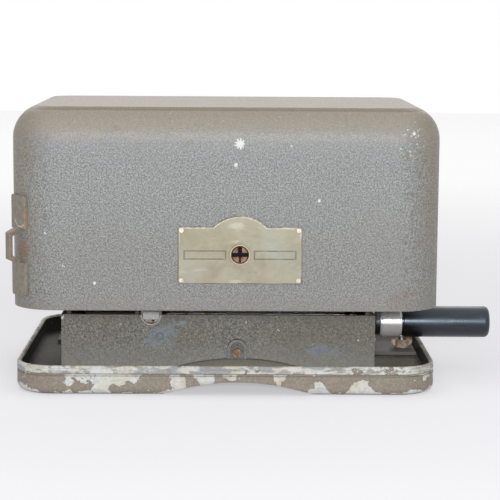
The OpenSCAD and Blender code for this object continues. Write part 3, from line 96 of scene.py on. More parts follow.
class Nodes:
    """Short names for adding nodes to one node tree. Values are numbers, colours or sockets."""

    def __init__(self, tree):
        self.tree = tree

    def put(self, socket, value):
        """Link a socket to another, or set it to a constant."""
        if isinstance(value, bpy.types.NodeSocket):
            self.tree.links.new(value, socket)
        else:
            socket.default_value = value

    def node(self, kind, **inputs):
        """A new node; in the names of its inputs, _ stands for a space."""
        n = self.tree.nodes.new(kind)
        for key, value in inputs.items():
            self.put(n.inputs[key.replace("_", " ")], value)
        return n

    def fill(self, n, values):
        """Give a node's first inputs their values, in order."""
        for socket, value in zip(n.inputs, values):
            self.put(socket, value)
        return n

    def calc(self, op, a, b=0.0):
        n = self.node("ShaderNodeMath")
        n.operation = op
        return self.fill(n, (a, b)).outputs[0]

    def chain(self, op, values):
        """One operation taken along several values."""
        out = values[0]
        for value in values[1:]:
            out = self.calc(op, out, value)
        return out

    def add(self, *values):
        return self.chain("ADD", values)

    def times(self, *values):
        return self.chain("MULTIPLY", values)

    def most(self, *values):
        return self.chain("MAXIMUM", values)

    def less(self, a, b):
        return self.calc("SUBTRACT", a, b)

    def weigh(self, *pairs):
        """The sum of several values, each times its share."""
        return self.add(*(self.times(value, share) for value, share in pairs))

    def off(self, value, middle):
        """How far a value is from a middle."""
        return self.calc("ABSOLUTE", self.less(value, middle))

    def length(self, a, b):
        """Length of a step that goes a one way and b across it."""
        return self.calc("SQRT", self.add(self.times(a, a), self.times(b, b)))

    def span(self, value, lo, hi, to_lo=0.0, to_hi=1.0, curve="SMOOTHSTEP"):
        """The value taken from the range lo to hi to another range, and held at its ends."""
        n = self.node("ShaderNodeMapRange", Value=value, From_Min=lo, From_Max=hi,
                      To_Min=to_lo, To_Max=to_hi)
        n.interpolation_type = curve
        return n.outputs["Result"]

    def mix(self, factor, a, b):
        """Colour a where the factor is 0, colour b where it is 1."""
        n = self.node("ShaderNodeMix")
        n.data_type = "RGBA"
        for socket, value in ((MIX_FACTOR, factor), (MIX_A, a), (MIX_B, b)):
            self.put(n.inputs[socket], value)
        return n.outputs[MIX_RESULT]

    def over(self, base, colour, *masks):
        """A colour laid over a base as far as the product of the masks says."""
        return self.mix(self.times(*masks), base, colour)

    def axes(self, where):
        """The x, y and z of a vector."""
        return self.node("ShaderNodeSeparateXYZ", Vector=where).outputs

    def vector(self, op, *values):
        n = self.node("ShaderNodeVectorMath")
        n.operation = op
        return self.fill(n, values).outputs

    def apart(self, where, point):
        """Distance from a point."""
        return self.vector("DISTANCE", where, point)["Value"]

    def shown(self):
        """1 for rays that show a background itself, 0 for those that light the object."""
        rays = self.node("ShaderNodeLightPath").outputs
        return self.most(*(rays[kind] for kind in SHOWN_RAYS))

    def blend(self, factor, a, b):
        """A shader node between two others."""
        return self.fill(self.node("ShaderNodeMixShader"), (factor, a.outputs[0], b.outputs[0]))


class Finish(Nodes):
    """A node material. Its textures use the frame's own metres, at rest."""

    def __init__(self, name, rough=0.5, metal=0.0, round_edge=0.0004):
        self.mat = bpy.data.materials.new(name)
        self.mat.use_nodes = True
        super().__init__(self.mat.node_tree)
        self.shader = self.tree.nodes["Principled BSDF"]
        self.set("Roughness", rough)
        self.set("Metallic", metal)
        self.place = self.node("ShaderNodeTexCoord").outputs["Object"]
        self.x, self.y, self.z = self.axes(self.place)
        self.face = self.node("ShaderNodeNewGeometry").outputs["Normal"]
        bevel = self.node("ShaderNodeBevel", Radius=round_edge)
        bevel.samples = BEVEL_SAMPLES
        self.soft = bevel.outputs["Normal"]

    def set(self, socket, value):
        """Set or link an input of the shader."""
        self.put(self.shader.inputs[socket], value)

    def noise(self, scale, detail=2.0, rough=0.5, where=None, distort=0.0):
        """Smooth noise round 0.5; the scale is in waves per metre."""
        n = self.node("ShaderNodeTexNoise", Vector=where or self.place, Scale=scale,
                      Detail=detail, Roughness=rough, Distortion=distort)
        return n.outputs["Fac"]

    def cells(self, scale):
        """Distance from the nearest of many scattered points."""
        return self.node("ShaderNodeTexVoronoi", Vector=self.place, Scale=scale).outputs["Distance"]

    def stretch(self, sx, sy, sz):
        """The place with each axis scaled, for streaks."""
        return self.vector("MULTIPLY", self.place, (sx, sy, sz))[0]

    def warp(self, amount, scale, detail=3.0):
        """The place shifted by noise of that amount in metres, for ragged outlines."""
        n = self.node("ShaderNodeTexNoise", Vector=self.place, Scale=scale, Detail=detail)
        shift = self.vector("SUBTRACT", n.outputs["Color"], (0.5, 0.5, 0.5))[0]
        return self.vector("MULTIPLY_ADD", shift, (amount, amount, amount), self.place)[0]

    def past_corner(self, half_x, half_y):
        """Distance outside an upright box round the middle plane, with round corners."""
        dx = self.most(self.less(self.off(self.x, mid_x), half_x), 0.0)
        dy = self.most(self.less(self.off(self.y, 0.0), half_y), 0.0)
        return self.length(dx, dy)

    def spots(self, where, listed, soft):
        """1 inside any of several round spots, each (x, y, z, radius) in millimetres, with soft borders."""
        masks = []
        for x, y, z, radius in listed:
            inner, outer = (radius / 1000 * (1 + change) for change in (-soft, soft))
            masks.append(self.span(self.apart(where, at(x, y, z)), outer, inner))
        return self.most(*masks)

    def edge(self, lo=0.02, hi=0.25):
        """1 along sharp edges, where wear comes first."""
        alike = self.vector("DOT_PRODUCT", self.soft, self.face)["Value"]
        return self.span(self.less(1.0, alike), lo, hi)

    def bump(self, height, distance):
        """The normal of a surface raised by the height, times a distance in metres."""
        return self.node("ShaderNodeBump", Strength=1.0, Distance=distance, Height=height,
                         Normal=self.soft).outputs["Normal"]

    def done(self, colour, rough=None, normal=None):
        """The finished material."""
        self.set("Base Color", colour)
        if rough is not None:
            self.set("Roughness", rough)
        self.set("Normal", normal or self.soft)
        return self.mat


def hood_paint():
    """Grey hammered paint with bluish flecks and a few chips; the brown on the rounded edges and the flat
    top is painted light, the warm tint of the light there.
    """
    # Heights, and distances from the middle plane, between which the colour changes.
    upper_edge, side_edge = (0.1370, 0.1525), (0.1005, 0.1125)
    lower_half, hem = (0.125, 0.060), (0.058, 0.047)
    grain_fades, crumbs_from, crumbs_to = (0.126, 0.150), (0.147, 0.152), (0.1572, 0.1562)
    flat_top = 0.1571
    # Middle of a dark mark on the flat top.
    mark_x, mark_y = x_at(16.2), 0.015
    f = Finish("hood_paint", rough=0.42, round_edge=0.0007)
    f.set("Specular IOR Level", 0.35)
    worm = f.noise(1200, 2.0, 0.55, distort=0.3)
    fleck = f.weigh((worm, 0.7), (f.noise(2500, 1.0), 0.3))
    # The grain is fainter on the upper edge.
    coarse = f.span(f.z, *grain_fades, 1.0, 0.42)
    light = f.add(f.times(f.less(f.span(fleck, 0.36, 0.68), 0.5), coarse), 0.5)
    base = f.mix(light, rgb(112, 111, 107), rgb(170, 173, 175))
    clouds = f.span(f.noise(11, 3.0), 0.42, 0.68, 0.0, 0.3)
    base = f.over(base, rgb(140, 135, 125), clouds)
    ragged = f.warp(0.012, 60)
    ragged_x, _, ragged_z = f.axes(ragged)
    # Painted light: the upper edge and the sides turn warm brown, the tint of the light they catch away
    # from the bluish front.
    upper = f.mix(light, rgb(138, 129, 117), rgb(178, 170, 158))
    base = f.over(base, upper, f.span(ragged_z, *upper_edge, 0.0, 0.9))
    sides = f.mix(light, rgb(116, 108, 96), rgb(166, 158, 146))
    base = f.over(base, sides, f.span(f.off(ragged_x, mid_x), *side_edge, 0.0, 0.8))
    lower = f.mix(light, rgb(106, 104, 99), rgb(160, 161, 159))
    base = f.over(base, lower, f.span(f.z, *lower_half, 0.0, 0.8))
    base = f.over(base, rgb(131, 125, 116), f.span(ragged_z, *hem, 0.0, 0.35))
    stains = f.spots(ragged, [(-84.8, -78, 130.3, 1.6), (-60, -76, 146, 2.2), (60, -76, 120, 1.4),
                              (98.7, -77, 133, 2.2), (-22, -78, 139, 2.4), (40, 70, 120, 3.0),
                              (-80, 70, 66, 4.0)], soft=0.7)
    base = f.over(base, rgb(136, 110, 86), stains, 0.38)
    scuffs = f.spots(ragged, [(93, -78, 52.2, 3.4), (97.5, -78, 54.6, 3.0), (101, -77, 57.4, 2.6)],
                     soft=0.6)
    streaks = f.span(f.noise(330, 4.0, 0.6, f.stretch(0.5, 1, 1.4)), 0.4, 0.6)
    base = f.over(base, rgb(124, 94, 72), scuffs, streaks, 0.42)
    by_loops = f.spots(ragged, [(-114.5, -72, 81, 6.0), (-114.5, 64, 81, 6.0)], soft=0.5)
    base = f.over(base, rgb(138, 106, 78), by_loops, 0.6)
    crumbs = f.times(f.span(f.cells(210), 0.12, 0.07), f.span(ragged_z, *crumbs_from),
                     f.span(f.z, *crumbs_to))
    base = f.over(base, rgb(206, 188, 164), crumbs, 0.7)
    # The flat top is browner, as painted warm light from above, with a dark line where the rounded edge
    # starts, and a dark mark.
    brown = f.mix(light, rgb(110, 99, 84), rgb(150, 139, 123))
    base = f.over(base, brown, f.span(f.z, flat_top, 0.1574))
    # Painted shade along the line where the rounded edge starts.
    crease_shade = f.span(f.off(f.z, flat_top), 0.0003, 0.0001, 0.0, 0.15)
    base = f.over(base, rgb(104, 92, 76), crease_shade)
    mark = f.times(f.span(f.off(f.x, mark_x), 0.0044, 0.0036),
                   f.span(f.off(f.y, mark_y), 0.0035, 0.002), f.span(f.z, 0.1570, 0.1574))
    base = f.over(base, rgb(96, 88, 78), mark, 0.75)
    dust = f.span(f.cells(105), 0.04, 0.022, 0.0, 0.75)
    base = f.over(base, rgb(206, 204, 196), dust)
    # Painted glints: sparse white specks in patches near the upper right corner.
    glint_patches = f.spots(f.warp(0.006, 300), [(101.8, -76, 147.5, 5.5), (106, -74, 142, 5.0),
                                          (99, -77, 137, 4.5)], soft=0.5)
    glints = f.span(f.cells(420), 0.26, 0.16)
    base = f.over(base, rgb(222, 222, 218), glint_patches, glints, 0.85)
    jagged = f.warp(0.0034, 1100, 4.0)
    front_chips = on_plane(HOOD_FRONT, (5.3, 128.0, 1.15), (51.2, 108.4, 0.9), (-100, 89.8, 0.75),
                           (-90.2, 71.4, 0.65), (-72.6, 62, 0.85), (35.7, 138.7, 0.6))
    other_chips = [(103, -75.8, 145.5, 1.2), (60.4, -76, 147.6, 0.75), (30, 20, 158, 1.1),
                   (-70, 41, 158, 0.9), (-120, 10, 120, 1.0), (120, 30, 100, 0.9),
                   (40, 70.6, 96, 1.1), (-55, 70.6, 130, 0.9)]
    chips = f.spots(jagged, front_chips + other_chips, soft=0.25)
    # One chip in the shape of a burst, where something struck the front.
    burst = at(7.4, HOOD_FRONT, 139.6)
    rays = 9
    angle = f.calc("ARCTAN2", f.less(f.z, burst[2]), f.less(f.x, burst[0]))
    wave = f.calc("ABSOLUTE", f.calc("COSINE", f.times(angle, rays / 2)))
    radius = f.span(wave, 0.1, 0.9, 0.0021, 0.0031)
    reach = f.calc("DIVIDE", f.apart(jagged, burst), radius)
    chips = f.most(chips, f.span(reach, 1.1, 0.8, 0.0, 0.92))
    primer = f.mix(f.noise(900, 2.0), rgb(206, 207, 206), rgb(242, 243, 243))
    base = f.over(base, primer, chips)
    relief = f.times(f.add(fleck, f.times(chips, -0.5)), coarse)
    return f.done(base, f.span(fleck, 0.3, 0.7, 0.5, 0.34), f.bump(relief, 0.0004))


def loop_paint():
    """The hood's paint on a bent strip, worn to copper-brown rust along its edges."""
    loop_middle = 0.0817
    # Middle and radius of the front loop's upper bend.
    bend, bend_radius = at(-113.5, -71, 97.5), 0.0052
    f = Finish("loop_paint", rough=0.5, round_edge=0.0007)
    grain = f.noise(420, 4.0, 0.55)
    base = f.mix(f.span(grain, 0.34, 0.68), rgb(120, 113, 102), rgb(138, 132, 121))
    patch = f.noise(170, 4.0, 0.6)
    middle = f.span(f.off(f.z, loop_middle), 0.0125, 0.0085)
    base = f.over(base, rgb(134, 102, 78), middle, f.span(patch, 0.46, 0.66, 0.0, 0.55))
    worn = f.times(f.edge(0.01, 0.16), f.most(f.span(patch, 0.36, 0.56, 0.4, 0.9), middle))
    copper = f.mix(f.noise(500, 3.0), rgb(156, 124, 100), rgb(208, 174, 150))
    base = f.over(base, copper, worn)
    rust = f.spots(f.warp(0.002, 400), [(-109.5, -75.2, 99.0, 1.9), (-109.5, -75.2, 96.2, 1.9),
                                        (-109.5, -75.2, 93.4, 1.8), (-109.5, 67.4, 70, 2.2)], soft=0.4)
    red = f.mix(f.noise(600, 2.0), rgb(176, 88, 56), rgb(196, 128, 92))
    base = f.over(base, red, rust, 0.85)
    # A pale line round that bend, a painted highlight where the strip bends.
    from_bend = f.off(f.apart(f.warp(0.001, 500), bend), bend_radius)
    bend_highlight = f.times(f.span(from_bend, 0.0005, 0.00025), f.span(f.z, 0.0972, 0.0960),
                    f.span(f.y, 0.0, -0.01), f.span(f.x, x_at(-111.6), x_at(-112.6)))
    base = f.over(base, rgb(214, 208, 194), bend_highlight, 0.65)
    return f.done(base, f.span(worn, 0, 1, 0.48, 0.6), f.bump(f.add(grain, worn), 0.00014))


def tray_paint():
    """Grey-brown paint, flaked off the rim and the lower edge down to primer and bare metal."""
    # Half the width and depth of the box inside the round corners, and how far its skin is outside it.
    core_x, core_y, skin = 0.096, 0.063, (0.0199, 0.0205)
    # Heights between which the skirt turns into the rim, of the two grooves there, and of the rim's top.
    rim, rim_top = (0.0112, 0.0121), (0.0150, 0.0153)
    upper_groove, lower_groove = 0.0119, 0.0107
    # The paint peels where the noise and what pushes it come above this.
    peels = 0.538
    f = Finish("tray_paint", rough=0.5, round_edge=0.0007)
    outward = f.past_corner(core_x, core_y)
    outside = f.most(f.span(outward, *skin), f.span(f.z, *rim_top))
    aside = f.off(f.x, mid_x)
    on_rim = f.span(f.z, *rim)
    flake = f.noise(66, 9.0, 0.64, distort=0.25)
    ragged = f.weigh((flake, 0.78), (f.noise(300, 4.0, 0.65), 0.22))
    # Where the photograph shows the paint gone from the front of the skirt, and where it has held.
    shifted = f.warp(0.009, 150, 6.0)
    gone = f.spots(shifted, [(-84, -85, 10, 6.5), (-77, -85, 9, 5.5), (-69, -85, 7.5, 5.5),
                             (-60, -85, 10, 6.0), (-50, -85, 10.5, 5.0), (-25, -85, 7, 4.5),
                             (76, -85, 4.5, 5.5), (92.5, -85, 8, 3.0), (103, -82, 1.5, 3.5),
                             (53, -85, 1.5, 6.0), (-10, -85, 10, 4.0)], soft=0.6)
    held = f.spots(shifted, [(-100, -83, 6.5, 8.0), (-41, -85, 5.5, 8.0), (90, -85, 4, 6.0),
                             (60, -85, 7.5, 8.0), (42, -85, 7.5, 8.0), (98, -84, 6, 6.0),
                             (20, -85, 9.5, 6.0)], soft=0.6)
    lower_edge = f.span(f.z, 0.0046, 0.0012, 0.0, 0.115)
    corners = f.span(aside, 0.1085, 0.1175, 0.0, 0.09)
    below_rim = f.span(f.z, *reversed(rim))
    peel = f.add(ragged, f.times(on_rim, 0.14), lower_edge, corners,
                 f.span(gone, 0.0, 1.0, 0.0, 0.12),
                 f.times(f.span(held, 0.0, 1.0, 0.0, -0.12), below_rim))
    bare = f.times(f.span(peel, peels, peels + 0.008), outside)
    speck = f.noise(900, 2.0, 0.55)
    grit = f.span(speck, 0.34, 0.7)
    paint = f.mix(grit, rgb(131, 121, 108), rgb(151, 141, 128))
    paint = f.over(paint, rgb(136, 122, 108), f.span(f.noise(24, 4.0), 0.4, 0.65, 0.0, 0.4))
    # Primer, with steel showing through in streaks along the rim.
    primer = f.mix(f.span(f.noise(48, 5.0, 0.6), 0.42, 0.6), rgb(208, 209, 205), rgb(204, 198, 181))
    primer = f.over(primer, rgb(160, 161, 158), f.span(f.noise(360, 5.0, 0.65), 0.46, 0.7, 0.0, 0.6))
    streak = f.add(f.noise(120, 8.0, 0.66, f.stretch(0.5, 0.5, 1.7)),
                   f.span(aside, 0.075, 0.03, 0.0, 0.045))
    steel = f.mix(f.noise(500, 3.0), rgb(126, 129, 131), rgb(166, 169, 171))
    primer = f.over(primer, steel, f.span(streak, 0.52, 0.57), f.span(f.z, *rim, 0.3, 0.9))
    scratch = f.noise(260, 5.0, 0.6, f.stretch(0.06, 0.06, 5.0))
    primer = f.over(primer, rgb(122, 118, 110), f.span(scratch, 0.56, 0.66, 0.0, 0.6), on_rim)
    left_over = f.span(f.noise(260, 6.0, 0.62, f.stretch(0.6, 0.6, 1.2)), 0.55, 0.58)
    primer = f.over(primer, rgb(146, 139, 128), left_over, on_rim, 0.8)
    base = f.over(paint, primer, bare)
    # A darker line round each flake: painted shade at the step of the paint's edge.
    border = f.less(f.span(peel, peels - 0.014, peels), f.span(peel, peels, peels + 0.014))
    base = f.over(base, rgb(98, 88, 78), border, 0.4)
    # Painted shade: dark lines along the two grooves.
    grooves = f.most(f.span(f.off(f.z, upper_groove), 0.0005, 0.0002),
                     f.span(f.off(f.z, lower_groove), 0.0004, 0.00015, 0.0, 0.7))
    base = f.over(base, rgb(100, 96, 90), grooves, 0.55)
    nicks = f.times(f.span(f.cells(150), 0.07, 0.045), f.span(f.noise(40, 2.0), 0.5, 0.6))
    base = f.over(base, rgb(214, 213, 206), nicks)
    # Inside, the paint holds, with grime and dust; painted light makes it paler in front of the housing,
    # and painted shade darkens it on the left and towards the back.
    inside = f.mix(grit, rgb(84, 82, 73), rgb(126, 123, 112))
    grime = f.span(f.noise(34, 4.0), 0.42, 0.66, 0.0, 0.6)
    inside = f.over(inside, rgb(94, 86, 66), grime)
    dust = f.span(f.noise(90, 6.0, 0.6), 0.56, 0.7, 0.0, 0.4)
    inside = f.over(inside, rgb(138, 133, 118), dust)
    # Painted light: paler paint on the floor in front of the housing, where the low light reaches it too
    # little.
    drift_x = f.axes(f.warp(0.016, 60, 4.0))[0]
    front = f.times(f.span(f.y, -0.0515, -0.058), f.span(f.off(drift_x, mid_x), 0.1, 0.074))
    pale = f.mix(grit, rgb(170, 166, 149), rgb(210, 206, 189))
    inside = f.over(inside, pale, front, 0.85)
    # Painted shade: darker on the floor beside the housing's left wall, under the hood.
    left_shadow = f.span(f.x, x_at(-92), x_at(-96), 0.0, 0.6)
    inside = f.over(inside, rgb(46, 45, 39), left_shadow)
    # Painted shade: nearly black towards the back, under the hood.
    back_shadow = f.span(f.y, 0.0, 0.078, 0.0, 0.85)
    inside = f.over(inside, rgb(26, 25, 22), back_shadow)
    crumbs = f.span(f.cells(230), 0.11, 0.06, 0.0, 0.7)
    inside = f.over(inside, rgb(190, 180, 150), crumbs, f.span(f.noise(60, 3.0), 0.5, 0.6))
    by_wall = f.span(outward, 0.0185, 0.0196, 0.0, 0.45)
    inside = f.over(inside, rgb(62, 63, 63), by_wall)
    base = f.over(inside, base, outside)
    f.set("Specular IOR Level", f.span(f.most(outside, front), 0.0, 1.0, 0.04, 0.4))
    sole = f.span(f.z, 0.0014, 0.0002, 0.0, 0.75)
    base = f.over(base, rgb(70, 66, 62), sole)
    relief = f.weigh((speck, 0.3), (bare, -1.0))
    return f.done(base, f.span(bare, 0, 1, 0.46, 0.6), f.bump(relief, 0.00024))


def housing_paint():
    """Dark grey-brown hammered paint with pale flecks and worn, bluish patches."""
    # Centres of the notch and of the rivet in the front wall, (x, z) in millimetres.
    notch, rivet = (-42.8, 39.4), (-37.7, 27.1)
    notch_radius, rivet_radius = 0.0055, 0.0020
    # The outside and inside of the walls, counted from the housing's middle, and the top of the feet.
    outside_x, inside_x, inside_y = (0.0902, 0.0907), (0.0891, 0.0885), (0.0512, 0.0506)
    foot_top = (0.0106, 0.0100)
    f = Finish("housing_paint", rough=0.46, round_edge=0.0005)
    worm = f.noise(1000, 2.0, 0.55, distort=0.5)
    fleck = f.weigh((worm, 0.65), (f.noise(2100, 1.0), 0.35))
    base = f.mix(f.span(fleck, 0.36, 0.7), rgb(88, 84, 77), rgb(148, 146, 138))
    base = f.over(base, rgb(104, 96, 84), f.span(f.noise(18, 3.0), 0.4, 0.66, 0.0, 0.4))
    # Paler towards its foot; darker at the top, a painted shade under the hood.
    base = f.over(base, rgb(150, 149, 144), f.span(f.z, 0.030, 0.010, 0.0, 0.5))
    base = f.over(base, rgb(60, 57, 50), f.span(f.z, 0.0325, 0.0415, 0.0, 0.42))
    sparks = f.span(f.cells(330), 0.15, 0.08, 0.0, 0.8)
    base = f.over(base, rgb(180, 174, 156), sparks, f.span(f.noise(90, 3.0), 0.48, 0.6))
    patches = on_plane(HOUSING_FRONT, (*rivet, 5.6), (-33.1, 30.6, 4.2), (-29.0, 36.0, 2.4),
                       (-43.3, 23.4, 2.8), (-31.9, 22.6, 2.2), (-25.0, 34.4, 1.8), (52, 18.2, 3.2),
                       (57, 18.6, 3.8), (62.5, 17.8, 3.2), (-66, 15, 2.0))
    worn = f.times(f.spots(f.warp(0.012, 170, 6.0), patches, soft=0.35),
                   f.span(f.noise(360, 5.0, 0.65), 0.34, 0.6, 0.35, 0.85))
    bluish = f.mix(f.noise(700, 3.0), rgb(112, 119, 128), rgb(142, 150, 159))
    base = f.over(base, bluish, worn)
    # A pale rim round the notch, and a dark ring round the rivet.
    from_notch, from_rivet = (f.apart(f.place, at(x, HOUSING_FRONT, z)) for x, z in (notch, rivet))
    pale_rim = f.span(f.off(from_notch, notch_radius), 0.0006, 0.0002)
    dark_ring = f.span(f.off(from_rivet, rivet_radius), 0.0005, 0.0002)
    base = f.over(base, rgb(178, 175, 166), pale_rim, 0.75)
    base = f.over(base, rgb(82, 86, 88), dark_ring, 0.6)
    chips = on_plane(HOUSING_FRONT, (-93.4, 37.9, 1.0), (-60.5, 33.8, 0.5), (30, 30.5, 0.5),
                     (76, 25, 0.45), (12, 35.5, 0.45))
    base = f.over(base, rgb(206, 204, 196), f.spots(f.warp(0.003, 900), chips, soft=0.3))
    wear = f.times(f.edge(0.02, 0.2), f.span(f.noise(120, 5.0), 0.44, 0.58, 0.2, 0.8))
    base = f.over(base, rgb(156, 154, 148), wear)
    # The feet beside the walls are dull and dark, and darker towards the back.
    across = f.off(f.x, x_at(HOUSING_MIDDLE))
    foot = f.times(f.span(across, *outside_x), f.span(f.z, *foot_top))
    base = f.over(base, rgb(88, 86, 80), foot, 0.6)
    base = f.over(base, rgb(42, 38, 32), foot, f.span(f.y, 0.0, 0.022, 0.0, 0.6))
    f.set("Specular IOR Level", f.span(foot, 0.0, 1.0, 0.35, 0.1))
    # Brown primer on the inside of the walls, made pale enough that the shaded gap under the hood shows
    # brown: partly painted light.
    within = f.times(f.span(f.off(f.y, 0.0), *inside_y), f.span(across, *inside_x))
    base = f.over(base, f.mix(fleck, rgb(112, 88, 62), rgb(150, 122, 90)), within)
    relief = f.add(worm, f.times(worn, -0.5))
    return f.done(base, f.span(worm, 0.3, 0.7, 0.54, 0.4), f.bump(relief, 0.0003))


def lug_paint():
    """The housing's paint on the clamp lug: darker in its recess as painted shade, pale on its foot, and
    pale on its rim from wear and a painted highlight.
    """
    f = Finish("lug_paint", rough=0.45, round_edge=0.0006)
    grain = f.noise(800, 3.0, 0.55)
    base = f.mix(f.span(grain, 0.35, 0.68), rgb(104, 102, 97), rgb(134, 132, 126))
    # Painted shade in the recess.
    recess = f.span(f.y, -0.0553, -0.0548)
    base = f.over(base, rgb(74, 73, 70), recess, 0.7)
    foot = f.times(f.span(f.z, 0.0195, 0.0165), f.span(f.noise(300, 4.0), 0.36, 0.56, 0.3, 1.0))
    base = f.over(base, rgb(122, 129, 134), foot, 0.75)
    # Pale along the edges: wear, and a painted highlight.
    rub_and_highlight = f.times(f.edge(0.01, 0.16), f.span(f.noise(220, 4.0), 0.36, 0.58, 0.35, 0.9))
    base = f.over(base, rgb(168, 167, 160), rub_and_highlight)
    return f.done(base, f.span(grain, 0.3, 0.7, 0.5, 0.4), f.bump(grain, 0.0002))


def plate_metal():
    """Dull nickel silver, stained, with some dirt in the engraved lines."""
    # The two boxes: from the lock to their middles, their height, and half their width and height.
    box_apart, box_z, box_half_x, box_half_z = 19.45, 0.078, 0.01175, 0.0025
    # The sheet: half its width, its middle height and half its height, and its arch's radius.
    half_width, sheet_z, half_height, arch_radius = 0.0344, 0.0778, 0.0159, 0.0214
    f = Finish("plate_metal", rough=0.42, metal=0.3, round_edge=0.0004)
    stain = f.noise(60, 6.0, 0.62, distort=0.6)
    base = f.mix(f.span(stain, 0.36, 0.64), rgb(134, 127, 106), rgb(152, 147, 127))
    base = f.over(base, rgb(150, 151, 143), f.span(f.noise(34, 3.0), 0.48, 0.7, 0.0, 0.7))
    fine = f.noise(420, 4.0, 0.6)
    base = f.over(base, rgb(146, 139, 118), f.span(fine, 0.5, 0.7, 0.0, 0.3))
    pale = f.span(f.noise(150, 5.0, 0.6, f.stretch(0.35, 1, 1.6)), 0.58, 0.7, 0.0, 0.4)
    base = f.over(base, rgb(192, 188, 172), pale)
    lines = []
    for box_x in (LOCK_X - box_apart, LOCK_X + box_apart):
        inset = f.most(f.less(f.off(f.x, x_at(box_x)), box_half_x),
                       f.less(f.off(f.z, box_z), box_half_z))
        lines.append(f.times(f.span(inset, 0.0001, -0.00005), f.span(inset, -0.00062, -0.00046)))
    dirt = f.span(f.noise(190, 3.0), 0.36, 0.6, 0.12, 0.6)
    base = f.over(base, rgb(92, 90, 80), f.most(*lines), dirt)
    # Along the edge a brown line, partly dirt and partly painted shade, and just inside it at the top a
    # bright one, a painted highlight on the bevel.
    aside = f.off(f.x, x_at(LOCK_X))
    above = f.less(f.z, LOCK_Z / 1000)
    arch = f.less(f.length(aside, above), arch_radius)
    sheet = f.most(f.less(aside, half_width), f.less(f.off(f.z, sheet_z), half_height))
    border = f.calc("MINIMUM", sheet, f.most(arch, f.times(above, -1.0)))
    bright = f.times(f.span(border, -0.0011, -0.0008), f.span(above, 0.004, 0.012),
                     f.span(fine, 0.4, 0.6, 0.2, 0.7))
    base = f.over(base, rgb(204, 202, 190), bright)
    edge_dirt_and_shade = f.times(f.span(border, -0.00075, -0.0003),
                      f.span(f.noise(120, 4.0), 0.36, 0.6, 0.35, 0.9))
    base = f.over(base, rgb(108, 82, 58), edge_dirt_and_shade)
    grain = f.noise(900, 2.0, 0.5, f.stretch(0.15, 1, 1))
    relief = f.weigh((stain, 0.6), (grain, 0.4))
    return f.done(base, f.span(stain, 0.3, 0.7, 0.38, 0.52), f.bump(relief, 0.00006))


def bright_metal(name, dark, light, rough, marked, dirt, metal):
    """Turned or sheet metal: fine tool marks, dull patches, bright edges."""
    f = Finish(name, rough=rough, metal=metal)
    marks = f.noise(1500, 2.0, 0.6, f.stretch(*marked))
    base = f.mix(f.span(marks, 0.34, 0.66), dark, light)
    grime = f.span(f.noise(85, 5.0, 0.6), 0.46, 0.7, 0.0, dirt)
    base = f.over(base, scaled(dark, 0.45), grime)
    base = f.over(base, scaled(light, 1.25), f.edge(), 0.5)
    rough_at = f.add(f.span(marks, 0.3, 0.7, rough * 0.85, rough * 1.15), f.times(grime, 0.3))
    return f.done(base, rough_at, f.bump(marks, 0.00004))


def rivet_metal():
    """Pale rivet heads with a brown ring where they meet the plate, a painted shade."""
    f = Finish("rivet_metal", rough=0.34, metal=0.4)
    cloud = f.noise(500, 3.0)
    base = f.mix(f.span(cloud, 0.36, 0.66), rgb(194, 182, 166), rgb(222, 212, 198))
    ring_shade = f.span(f.y, -0.0800, -0.0795)
    base = f.over(base, rgb(118, 96, 72), ring_shade)
    return f.done(base, f.span(cloud, 0.3, 0.7, 0.28, 0.42), f.bump(cloud, 0.00004))


def rusty_metal(name, dark, light):
    """Steel under brown rust, paler where it is handled."""
    f = Finish(name, rough=0.7, metal=0.1)
    cloud = f.noise(260, 6.0, 0.65)
    base = f.mix(f.span(cloud, 0.35, 0.66), dark, light)
    pits = f.span(f.noise(900, 3.0), 0.54, 0.66)
    base = f.over(base, rgb(84, 58, 42), pits, 0.45)
    base = f.over(base, rgb(198, 182, 166), f.edge(), 0.6)
    return f.done(base, f.span(cloud, 0.3, 0.7, 0.8, 0.5), f.bump(f.add(cloud, pits), 0.00014))


def lock_metal():
    """Lock face: pale ring, dark joint, copper-brown face and a cross-shaped slot painted black as shade.
    """
    lock_z = LOCK_Z / 1000
    slot_black = rgb(12, 9, 8)
    f = Finish("lock_metal", rough=0.4, metal=0.35, round_edge=0.0003)
    f.set("Specular IOR Level", 0.12)
    dx = f.off(f.x, x_at(LOCK_X))
    dz = f.off(f.z, lock_z)
    reach = f.length(dx, dz)
    cloud = f.noise(330, 4.0, 0.6)
    base = f.mix(f.span(cloud, 0.34, 0.66), rgb(90, 66, 52), rgb(150, 118, 99))
    shade = f.times(f.span(dx, 0.0015, 0.0009), f.span(f.z, lock_z, 0.0790))
    base = f.over(base, rgb(14, 10, 9), shade)
    joint = f.span(reach, 0.0042, 0.0045)
    base = f.over(base, rgb(30, 25, 22), joint)
    ring = f.span(reach, 0.0049, 0.0051)
    base = f.over(base, f.mix(cloud, rgb(150, 132, 102), rgb(196, 182, 152)), ring)
    # Painted shade: the cross-shaped slot black.
    slot = f.most(f.times(f.span(dz, 0.00125, 0.00105), f.span(dx, 0.0048, 0.0045)),
                  f.times(f.span(dx, 0.0006, 0.0004), f.span(dz, 0.0044, 0.0042)))
    base = f.over(base, slot_black, slot)
    # Painted shade: black deep in the slot.
    deep = f.span(f.y, -0.0804, -0.0800)
    base = f.over(base, slot_black, deep)
    return f.done(base, f.span(cloud, 0.3, 0.7, 0.34, 0.5), f.bump(cloud, 0.00006))


